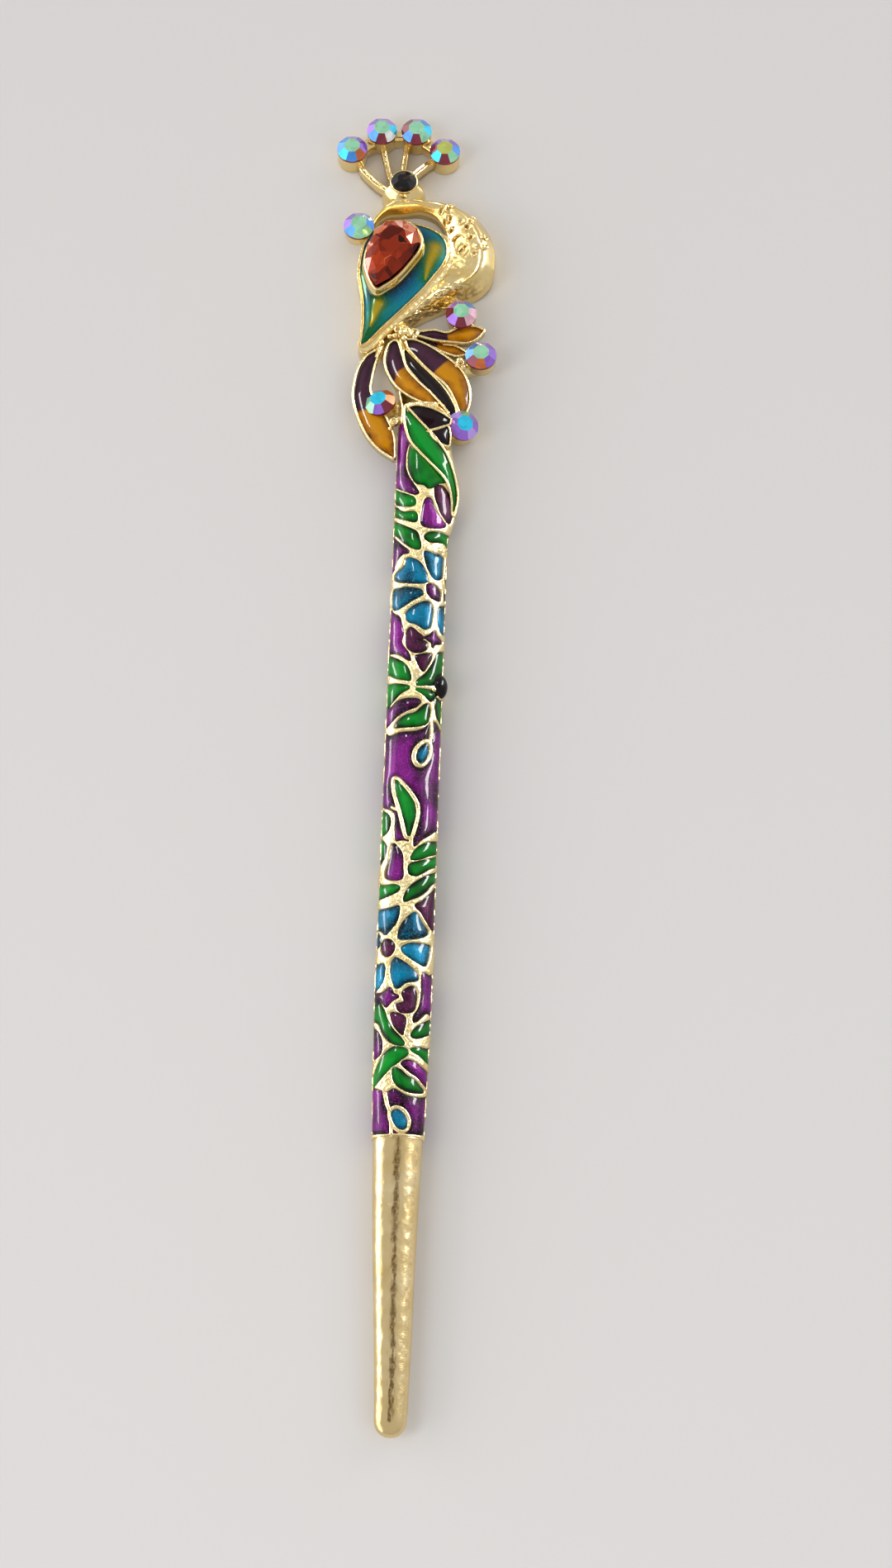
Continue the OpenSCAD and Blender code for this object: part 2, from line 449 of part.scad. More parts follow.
// The root knot of the petals, the beads beside it and the small struts under the fan
module posts() {
    limb([[-3.3, 146.2, 1.6, 1.2, 2.0], [-3.4, 143.2, 1.6, 1.5, 2.2], [-3.2, 140.0, 1.4, 1.3, 1.6],
        [-2.6, 136.0, 1.8, 1.2, 1.8], [-1.5, 132.5, 2.0, 1.4, 2.2]], 8);
    limb([[-3.4, 137.4, 2.4, 0.35, 1.6], [-2.9, 134.0, 2.4, 0.35, 1.9], [-2.8, 132, 2.4, 0.6, 1.8]], 8);
    limb([[4.2, 148.2, 1.4, 1.0, 1.2], [3.2, 150.6, 1.4, 1.0, 1.3]], 6);
    limb([[6.8, 142.2, 1.4, 0.9, 1.2], [3.4, 141.2, 1.6, 0.9, 1.3]], 6);
    limb([[4.8, 132.4, 1.6, 1.0, 1.3], [2.6, 133.2, 2.0, 1.0, 1.6]], 6);
    limb([[-5.8, 135.0, 1.6, 1.2, 1.3], [-7.6, 134.6, 1.8, 1.2, 1.3]], 6);
    for (b = [[-3.3, 145.4, 4.0], [-2.2, 145.3, 3.6], [-3.9, 132.2, 3.8], [4.2, 141.9, 3.4]])
        hull() {
            translate([b[0], b[1], b[2] - 2.2]) cylinder(h = 2.2, r = 0.75, $fn = 8);
            translate([b[0], b[1], b[2]]) cylinder(h = 0.35, r = 0.3, $fn = 8);
        }
}

module place() translate([-mid_x, -mid_y, 0]) children();
module crest_stone(i) color("#9a86d0") seated(CREST[i], stone_d);
module petal_stone(i) color("#9a86d0") seated(PETAL_STONES[i], stone_d);
module petal_enamel(i) color(i == 2 || i == 6 || i == 7 ? "#3a1535" : "#bd7f00") difference() {
    head_enamel(PETALS[i]);
    for (s = PETAL_STONES) {
        cup(s, cup_wall_r + 2 * gap, 0.1);
        stone_room(s, stone_d + 0.3);
    }
}

place() casting();
place() crest_stone(0);  // crest_stone_1
place() crest_stone(1);  // crest_stone_2
place() crest_stone(2);  // crest_stone_3
place() crest_stone(3);  // crest_stone_4
place() color("#9a86d0") seated(BEAK, stone_d);  // beak_stone
place() color("#141014") seated(EYE, eye_d);  // eye_stone
place() pear_stone();
place() petal_stone(0);  // petal_stone_1
place() petal_stone(1);  // petal_stone_2
place() petal_stone(2);  // petal_stone_3
place() petal_stone(3);  // petal_stone_4
place() side_cabochon();
place() body_enamel();
place() petal_enamel(0);  // petal_enamel_1
place() petal_enamel(1);  // petal_enamel_2
place() petal_enamel(2);  // petal_enamel_3
place() petal_enamel(3);  // petal_enamel_4
place() petal_enamel(4);  // petal_enamel_5
place() petal_enamel(5);  // petal_enamel_6
place() petal_enamel(6);  // petal_enamel_7
place() petal_enamel(7);  // petal_enamel_8
place() color("#0a7a2a") head_enamel(LONG_LEAF);  // long_leaf_enamel
place() color("#7a1590") {  // shaft_purple
    shaft_enamel("p");
    open_ground();
}
place() color("#3a1030") shaft_enamel("m");  // shaft_plum
place() color("#0a8a2a") shaft_enamel("g");  // shaft_green
place() color("#0a6f9c") shaft_enamel("b");  // shaft_blue
place() color("#7a1590") back_panel(gap);  // back_enamel
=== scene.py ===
"""The looks of a gilt hair stick with an enamelled shaft and a stone-set peacock head."""
import math

import bpy
import numpy as np
from mathutils import Matrix, Vector


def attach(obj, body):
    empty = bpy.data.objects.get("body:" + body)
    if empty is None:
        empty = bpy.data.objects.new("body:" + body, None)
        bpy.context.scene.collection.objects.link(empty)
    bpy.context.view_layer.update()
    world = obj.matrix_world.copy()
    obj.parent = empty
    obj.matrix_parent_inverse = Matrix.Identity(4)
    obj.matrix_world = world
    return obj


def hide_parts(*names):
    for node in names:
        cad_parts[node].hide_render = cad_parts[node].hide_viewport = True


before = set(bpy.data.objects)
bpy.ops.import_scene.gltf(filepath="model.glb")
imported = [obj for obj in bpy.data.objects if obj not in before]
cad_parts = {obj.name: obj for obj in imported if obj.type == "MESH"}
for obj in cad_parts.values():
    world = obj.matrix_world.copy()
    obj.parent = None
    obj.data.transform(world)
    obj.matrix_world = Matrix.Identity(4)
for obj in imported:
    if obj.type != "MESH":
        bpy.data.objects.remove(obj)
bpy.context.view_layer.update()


# Table, light and camera
# The stick lies on a pale matt table in a bright tent, with a soft lamp on either side.
# The camera looks down at it from beyond the tip, 64 degrees above the table.

STICK_ORIGIN = np.array([2.025, -89.905, 0.0])   # the tip's place in the part's frame, mm


def laid(points):
    """Points in stick millimetres (tip at y 0, shaft axis at x 0, table at z 0) as metres
    in the part's frame."""
    return (np.asarray(points, float) + STICK_ORIGIN) * 0.001


def linear(hex_colour):
    """An sRGB hex colour as the linear red, green, blue and alpha that shaders take."""
    c = np.array([int(hex_colour[i:i + 2], 16) for i in (1, 3, 5)]) / 255
    return (*np.where(c <= 0.04045, c / 12.92, ((c + 0.055) / 1.055) ** 2.4), 1.0)


def add(tree, kind, settings=None, inputs=None, **links):
    """A node of one kind in a tree, with its settings, its input values by name or place,
    and its links: the output that feeds each input, named with _ for a space."""
    made = tree.nodes.new(kind)
    for name, value in (settings or {}).items():
        setattr(made, name, value)
    for name, value in (inputs or {}).items():
        made.inputs[name].default_value = value
    for name, output in links.items():
        key = int(name[1:]) if name[1:].isdigit() else name.replace("_", " ")
        tree.links.new(output, made.inputs[key])
    return made


def stops(ramp_node, places, interpolation="LINEAR"):
    """Sets a colour ramp's stops from pairs of place and hex colour."""
    ramp = ramp_node.color_ramp
    ramp.interpolation = interpolation
    while len(ramp.elements) > 1:
        ramp.elements.remove(ramp.elements[0])
    for i, (place, colour) in enumerate(places):
        stop = ramp.elements[0] if i == 0 else ramp.elements.new(place)
        stop.position, stop.color = place, linear(colour)
    return ramp_node


def shown(name, data):
    """A new object of the scene, from its mesh, lamp or camera data."""
    made = bpy.data.objects.new(name, data)
    bpy.context.scene.collection.objects.link(made)
    return made


camera_pitch = math.radians(25.888)      # tilt away from straight down
camera_turn = math.radians(1.7246)
camera_distance = 477.77
camera_target = np.array([4.233, 82.142, 2.3])
along = np.array([-math.sin(camera_turn), math.cos(camera_turn), 0])
across = np.array([math.cos(camera_turn), math.sin(camera_turn), 0])
upright = np.array([0, 0, 1.0])
back = upright * math.cos(camera_pitch) - along * math.sin(camera_pitch)
head_up = upright * math.sin(camera_pitch) + along * math.cos(camera_pitch)
camera = shown("camera", bpy.data.cameras.new("camera"))
camera.data.lens, camera.data.sensor_width = 90, 36
camera.data.clip_start, camera.data.clip_end = 0.01, 20
camera.matrix_world = Matrix.LocRotScale(
    Vector(laid(camera_target + back * camera_distance)),
    Matrix((across, head_up, back)).transposed(), None)
bpy.context.scene.camera = camera
bpy.context.scene.view_settings.view_transform = "Standard"

# A pale matt board gives soft shadows and no reflections
TABLE_REACH = 3.0
TABLE_TOP = -0.00005
table_corners = [(-1, -1), (1, -1), (1, 1), (-1, 1)]
table_mesh = bpy.data.meshes.new("table")
table_mesh.from_pydata([(x * TABLE_REACH, y * TABLE_REACH, TABLE_TOP) for x, y in table_corners],
                       [], [(0, 1, 2, 3)])
table = shown("table", table_mesh)
table_paint = bpy.data.materials.new("pale_matt_board")
table_paint.use_nodes = True
table_shader = table_paint.node_tree.nodes["Principled BSDF"]
table_shader.inputs["Base Color"].default_value = linear("#d9d7d6")
table_shader.inputs["Roughness"].default_value = 0.75
table_shader.inputs["Specular IOR Level"].default_value = 0.2
table_mesh.materials.append(table_paint)

# The room is a bright tent, whiter low on the left, with a dark brown slot overhead
TENT_LEVEL = 0.65         # brightness of the plain tent
TENT_LEAST = 0.05         # brightness below which no place of it falls
world = bpy.data.worlds.new("light_tent")
bpy.context.scene.world = world
world.use_nodes = True
sky = world.node_tree
sky.nodes.clear()
direction = add(sky, "ShaderNodeTexCoord").outputs["Generated"]
parts = add(sky, "ShaderNodeSeparateXYZ", Vector=direction)
height = parts.outputs["Z"]


def patch(*bands):
    """A patch of the tent: the product of its bands. A band is 1 where its value lies
    between low and high, and falls to 0 by a smooth step over soft on either side."""
    cover = None
    for value, low, high, soft in bands:
        for start, end, first in ((low - soft, low, 0.0), (high, high + soft, 1.0)):
            edge = add(sky, "ShaderNodeMapRange", {"interpolation_type": "SMOOTHSTEP"},
                       {1: start, 2: end, 3: first, 4: 1 - first}, _0=value).outputs[0]
            cover = edge if cover is None else add(
                sky, "ShaderNodeMath", {"operation": "MULTIPLY"}, _0=cover, _1=edge).outputs[0]
    return cover


def sum_of(*terms):
    """The sum of pairs of a value and its weight."""
    total = None
    for value, weight in terms:
        scaled = add(sky, "ShaderNodeMath", {"operation": "MULTIPLY"}, {1: weight}, _0=value).outputs[0]
        total = scaled if total is None else add(
            sky, "ShaderNodeMath", {"operation": "ADD"}, _0=total, _1=scaled).outputs[0]
    return total


side = parts.outputs["X"]
depth_way = parts.outputs["Y"]
left_box = patch((side, -1.1, -0.70, 0.08), (height, -0.06, 0.50, 0.10))
near_dim = patch((depth_way, -1.2, -0.55, 0.25), (height, -0.2, 0.35, 0.2))
right_fill = patch((side, 0.55, 1.1, 0.20), (depth_way, 0.42, 1.1, 0.12))
slot = patch((side, -0.11, 0.09, 0.05), (depth_way, 0.05, 0.36, 0.05))
brightness = sum_of((left_box, 1.7), (right_fill, 0.7), (near_dim, -0.06), (slot, -0.52))
level = add(sky, "ShaderNodeMath", {"operation": "ADD"}, {1: TENT_LEVEL}, _0=brightness).outputs[0]
level = add(sky, "ShaderNodeMath", {"operation": "MAXIMUM"}, {1: TENT_LEAST}, _0=level).outputs[0]
tent_hue = add(sky, "ShaderNodeMix", {"data_type": "RGBA"},
               {6: linear("#fcfbfa"), 7: linear("#e0b070")}, _0=slot)
tent = add(sky, "ShaderNodeBackground", Strength=level, Color=tent_hue.outputs[2])
add(sky, "ShaderNodeOutputWorld", Surface=tent.outputs[0])


def area_lamp(name, width, length, power):
    """A flat lamp of a given size and power, which the camera doesn't see."""
    lamp = shown(name, bpy.data.lights.new(name, "AREA"))
    lamp.data.shape, lamp.data.size, lamp.data.size_y = "RECTANGLE", width, length
    lamp.data.energy = power
    lamp.visible_camera = False
    return lamp


def soft_box(name, place, width, length, power):
    """A broad lamp aimed at the stick that lights it and the table, unseen in the gilding."""
    lamp = area_lamp(name, width, length, power)
    lamp.location = place
    lamp.rotation_euler = (-Vector(place)).to_track_quat("-Z", "Y").to_euler()
    lamp.visible_glossy = False


soft_box("key_box", (-0.40, -0.32, 0.48), 0.25, 0.5, 1.3)
soft_box("fill_box", (0.34, -0.46, 0.44), 0.4, 0.4, 0.6)


SHINE_AWAY = 0.7          # metres from the stick to each narrow lamp


def shine_box(name, middle, end, width, radiance):
    """A narrow lamp that shows only in polished surfaces, as the white lines on the enamel.
    middle and end are the directions from the stick to its middle and to one end."""
    middle, end = Vector(middle).normalized(), Vector(end).normalized()
    long_way = (end - middle).normalized()
    wide_way = long_way.cross(middle).normalized()
    length = (end - middle).length * SHINE_AWAY * 2
    lamp = area_lamp(name, width, length, radiance * math.pi * width * length)
    turned_to = Matrix((wide_way, long_way, wide_way.cross(long_way))).transposed()
    lamp.matrix_world = Matrix.LocRotScale(middle * SHINE_AWAY, turned_to, None)
    lamp.visible_diffuse = False


shine_box("right_shine", (0.66, 0.55, 0.46), (0.66, 0.70, 0.27), 0.11, 40)
shine_box("left_shine", (-0.89, 0.40, 0.20), (-0.84, 0.54, 0.05), 0.10, 22)
shine_box("top_shine", (-0.27, 0.566, 0.779), (-0.27, 0.616, 0.739), 0.05, 40)


# Gilt shaft and tip
# One casting in zinc alloy, plated pale gold. The shaft is a flattened round bar whose
# face is sunk into cells, with grainy walls between them, and the tip is left plain.

def cubic(a, b, c, d, t):
    """The Catmull-Rom cubic of four places in a row, at a share t of the way from b to c."""
    return b + 0.5 * t * (c - a + t * (2 * a - 5 * b + 4 * c - d + t * (3 * (b - c) + d - a)))


def flowing(points, n, closed=False):
    """n evenly spaced points of a smooth line through given ones. Between two points the
    line is the cubic of the four nearest, and its length is then shared out evenly."""
    p = np.asarray(points, float)
    k = len(p) if closed else len(p) - 1
    u = np.linspace(0, k, 12 * k + 1)
    i = np.minimum(u.astype(int), k - 1)
    t = (u - i)[:, None]
    if closed:
        a, b, c, d = (p[(i + j) % len(p)] for j in (-1, 0, 1, 2))
    else:
        q = np.vstack([2 * p[0] - p[1], p, 2 * p[-1] - p[-2]])
        a, b, c, d = (q[i + j] for j in (0, 1, 2, 3))
    line = cubic(a, b, c, d, t)
    run = np.concatenate([[0], np.cumsum(np.linalg.norm(np.diff(line, axis=0), axis=1))])
    at = np.linspace(0, run[-1], n, endpoint=not closed)
    return np.stack([np.interp(at, run, line[:, j]) for j in range(line.shape[1])], 1)


def eased(x, low, high):
    """0 below low, 1 above high, and a smooth step between."""
    t = np.clip((x - low) / (high - low), 0, 1)
    return t * t * (3 - 2 * t)


LATTICE = (97, 101)       # steps after which the random values come round again


def grain(u, v, size, seed):
    """Smooth random values from -1 to 1 over a plane: seeded values on a square lattice of
    the given size, set off the stick's axis, blended between its points by an eased share."""
    lattice = np.random.default_rng(seed).uniform(-1, 1, LATTICE)
    x, y = np.asarray(u) / size + 31.7, np.asarray(v) / size + 57.3
    i, j = np.floor(x).astype(int), np.floor(y).astype(int)
    s, t = eased(x - i, 0, 1), eased(y - j, 0, 1)
    i, i_next = i % LATTICE[0], (i + 1) % LATTICE[0]
    j, j_next = j % LATTICE[1], (j + 1) % LATTICE[1]
    return ((lattice[i, j] * (1 - s) + lattice[i_next, j] * s) * (1 - t)
            + (lattice[i, j_next] * (1 - s) + lattice[i_next, j_next] * s) * t)


def grid_faces(rows, cols, wrap_rows=False):
    """The four-sided faces of a grid of points whose rows are rings. Where the rows wrap,
    the last ring is joined to the first."""
    i = np.arange(rows if wrap_rows else rows - 1)[:, None]
    j = np.arange(cols)[None]
    i_next, j_next = (i + 1) % rows, (j + 1) % cols
    corners = [i * cols + j, i * cols + j_next, i_next * cols + j_next, i_next * cols + j]
    return np.stack(corners, -1).reshape(-1, 4)


def dressed(made, nodes):
    """Says what a piece rides on, and hides the parts that it stands for."""
    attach(made, "root")
    if nodes:
        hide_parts(*nodes)


def put_in(name, points, faces, finish, slot_name, nodes=(), values=None):
    """Makes one piece of the stick from points in stick millimetres and faces of 3 or 4
    corners, smooth but for the three-cornered faces of its flat ends. It turns the faces
    outward by the sign of the volume, and stores named values per point."""
    points = laid(points)
    volume = sum(np.einsum("ij,ij->i", points[f[:, 0]], np.cross(points[f[:, k]], points[f[:, k + 1]])).sum()
                 for f in faces for k in range(1, f.shape[1] - 1))
    if volume < 0:
        faces = [f[:, ::-1] for f in faces]
    corners = np.concatenate([f.ravel() for f in faces])
    counts = np.concatenate([np.full(len(f), f.shape[1]) for f in faces])
    mesh = bpy.data.meshes.new(name)
    mesh.vertices.add(len(points))
    mesh.vertices.foreach_set("co", points.astype(np.float32).ravel())
    mesh.loops.add(len(corners))
    mesh.loops.foreach_set("vertex_index", corners.astype(np.int32))
    mesh.polygons.add(len(counts))
    starts = np.concatenate([[0], np.cumsum(counts)[:-1]])
    mesh.polygons.foreach_set("loop_start", starts.astype(np.int32))
    mesh.update(calc_edges=True)
    mesh.validate()
    sizes = np.empty(len(mesh.polygons), np.int32)
    mesh.polygons.foreach_get("loop_total", sizes)
    mesh.polygons.foreach_set("use_smooth", sizes == 4)
    for label, value in (values or {}).items():
        mesh.attributes.new(label, "FLOAT", "POINT").data.foreach_set(
            "value", np.asarray(value, np.float32).ravel())
    mesh.materials.append(finish)
    dressed(shown(name, mesh), nodes)


def lofted(rings):
    """Points and faces of a closed body: rings of points, joined ring to ring, with a fan
    from the middle of each end ring."""
    n, m = rings.shape[:2]
    points = np.concatenate([rings.reshape(-1, 3), rings[0].mean(0)[None], rings[-1].mean(0)[None]])
    j = np.arange(m)
    first = np.stack([np.full(m, n * m), (j + 1) % m, j], 1)
    last = np.stack([np.full(m, n * m + 1), (n - 1) * m + j, (n - 1) * m + (j + 1) % m], 1)
    return points, [grid_faces(n, m), first, last]


def ends_added(values):
    """A value for each point of a lofted body, from those of its rings, and 0 at the
    middles of its two ends."""
    return np.append(np.ravel(values), [0, 0])


def joined(*bodies):
    """Several bodies' points and faces as those of one piece."""
    points, faces, start = [], [], 0
    for body in bodies:
        points.append(body[0])
        faces += [np.asarray(f) + start for f in body[1]]
        start += len(body[0])
    return np.concatenate(points), faces


def blank_finish(name, values):
    """A new material whose surface shader has the given values: the material, its tree, the
    shader and the object coordinates, in metres."""
    made = bpy.data.materials.new(name)
    made.use_nodes = True
    shader = made.node_tree.nodes["Principled BSDF"]
    for label, value in values.items():
        shader.inputs[label].default_value = value
    place = add(made.node_tree, "ShaderNodeTexCoord").outputs["Object"]
    return made, made.node_tree, shader, place


def gilding(name, tone, grit, relief, rough):
    """Pale gold plate: a grainy polish whose pits are rougher than its tops, in patches of
    two tones about 4 mm across. The grain's size and relief are in mm. The value "hollow"
    on a piece, 0 on tops and 1 in corners, mixes in a dark brown: painted shade in the
    corners, creases and pits."""
    plate, tree, shader, place = blank_finish(name, {"Metallic": 1.0})
    speck = add(tree, "ShaderNodeTexNoise", inputs={"Scale": 1000 / grit, "Detail": 2.5, "Roughness": 0.6},
                Vector=place).outputs["Fac"]
    cloud = add(tree, "ShaderNodeTexNoise", inputs={"Scale": 260.0, "Detail": 2.0}, Vector=place)
    hollow = add(tree, "ShaderNodeAttribute", {"attribute_name": "hollow"}).outputs["Fac"]
    pale = stops(add(tree, "ShaderNodeValToRGB", Fac=cloud.outputs["Fac"]), [(0.3, tone[0]), (0.7, tone[1])])
    # Painted shade: dark brown mixed in where the value hollow is high
    brown = add(tree, "ShaderNodeMix", {"data_type": "RGBA"}, {7: linear("#5b3a1c")},
                _0=hollow, _6=pale.outputs["Color"])
    tree.links.new(brown.outputs[2], shader.inputs["Base Color"])
    roughness = add(tree, "ShaderNodeMapRange", {}, {1: 0.3, 2: 0.75, 3: rough, 4: rough + 0.16}, _0=speck)
    tree.links.new(roughness.outputs[0], shader.inputs["Roughness"])
    bump = add(tree, "ShaderNodeBump", inputs={"Strength": 1.0, "Distance": relief * 0.001}, Height=speck)
    tree.links.new(bump.outputs[0], shader.inputs["Normal"])
    return plate


gilt_wall = gilding("pale_gold_plate_grainy_wall", ("#ecd292", "#f7e6b4"), 0.13, 0.032, 0.18)
gilt_smooth = gilding("pale_gold_plate_polished", ("#e8cb84", "#f3dda4"), 0.40, 0.008, 0.12)

SHAFT_HALF_W = 3.5
SHAFT_HALF_T = 2.35
AXIS_Z = 2.35
SLEEVE_Y = 35.6           # where the plain tip meets the enamelled shaft
FULL_WIDTH_Y = 52.0
ENAMEL_TOP_Y = 135.0
TIP_HALF_W = 1.8
SLEEVE_HALF_W = 2.95


def lean(y):
    """How far a point seems to move along the stick for each mm of height, seen from the
    camera: the tangent of the view's slope, which grows from the tip to the crest."""
    return 0.29 + 0.00236 * y


def half_width(y):
    """Half the bar's width at y: a rounded end, a straight taper up the plain tip, then
    the enamelled shaft, which reaches its full width a little way up."""
    y = np.asarray(y, float)
    round_end = np.sqrt(np.clip(1 - np.clip(1 - y / TIP_HALF_W, 0, 1) ** 2, 0.0004, 1))
    plain = (TIP_HALF_W + (SLEEVE_HALF_W - TIP_HALF_W) * y / SLEEVE_Y) * round_end
    walled = SHAFT_HALF_W * np.interp(y, [SLEEVE_Y, 42, FULL_WIDTH_Y], [0.9, 0.94, 1])
    return plain + (walled - plain) * eased(y, SLEEVE_Y - 0.15, SLEEVE_Y + 0.25)


def flank_swell(y):
    """The right flank's outward swell where the long leaf runs off the shaft."""
    return 0.8 * eased(y, 115.5, 119.5) * (1 - eased(y, 124.5, 130))


# The length round the section from its top, for a table of angles
TURN_TABLE = np.linspace(-np.pi, np.pi, 4001)
speed = np.hypot(SHAFT_HALF_W * np.cos(TURN_TABLE), SHAFT_HALF_T * np.sin(TURN_TABLE))
whole_run = np.concatenate([[0], np.cumsum((speed[1:] + speed[:-1]) / 2 * np.diff(TURN_TABLE))])
RUN_TABLE = whole_run - np.interp(0, TURN_TABLE, whole_run)
FOLD_RUN = float(np.interp(np.pi / 2, TURN_TABLE, RUN_TABLE))


def section_turn(count):
    """Angles round the bar, 0 on top and rising to the right, spaced evenly by length."""
    return np.interp(np.linspace(0, whole_run[-1], count, endpoint=False), whole_run, TURN_TABLE)


def face_run(turn):
    """The length round the face from its top, the back folded onto the face."""
    folded = np.where(np.abs(turn) > np.pi / 2, np.sign(turn) * np.pi - turn, turn)
    return np.interp(folded, TURN_TABLE, RUN_TABLE)


def on_face(outline):
    """An outline drawn as the camera sees it, x and y in mm, laid on the bar: x becomes the
    length round the face, and beyond the edge it runs on down the flank."""
    outline = np.asarray(outline, float)
    w = half_width(outline[:, 1]) + flank_swell(outline[:, 1]) * (outline[:, 0] > 0)
    f = np.clip(outline[:, 0] / w, -0.985, 0.985)
    over = outline[:, 0] - f * w
    return np.stack([np.interp(np.arcsin(f), TURN_TABLE, RUN_TABLE) + over, outline[:, 1]], 1)


def distance_to(px, py, outline, closed=True):
    """The distance from points to an outline, negative inside it: the least over its
    segments, with the sign from how often a ray to the right crosses it."""
    a = outline
    b = np.roll(outline, -1, 0) if closed else outline[1:]
    a = a if closed else outline[:-1]
    best, inside = np.full(px.shape, 1e9), np.zeros(px.shape, bool)
    for (ax, ay), (bx, by) in zip(a, b):
        dx, dy = bx - ax, by - ay
        t = np.clip(((px - ax) * dx + (py - ay) * dy) / max(dx * dx + dy * dy, 1e-12), 0, 1)
        best = np.minimum(best, (px - ax - t * dx) ** 2 + (py - ay - t * dy) ** 2)
        if closed and ay != by:
            inside ^= ((ay > py) != (by > py)) & (px < ax + (py - ay) * dx / dy)
    return np.where(inside, -1, 1) * np.sqrt(best)


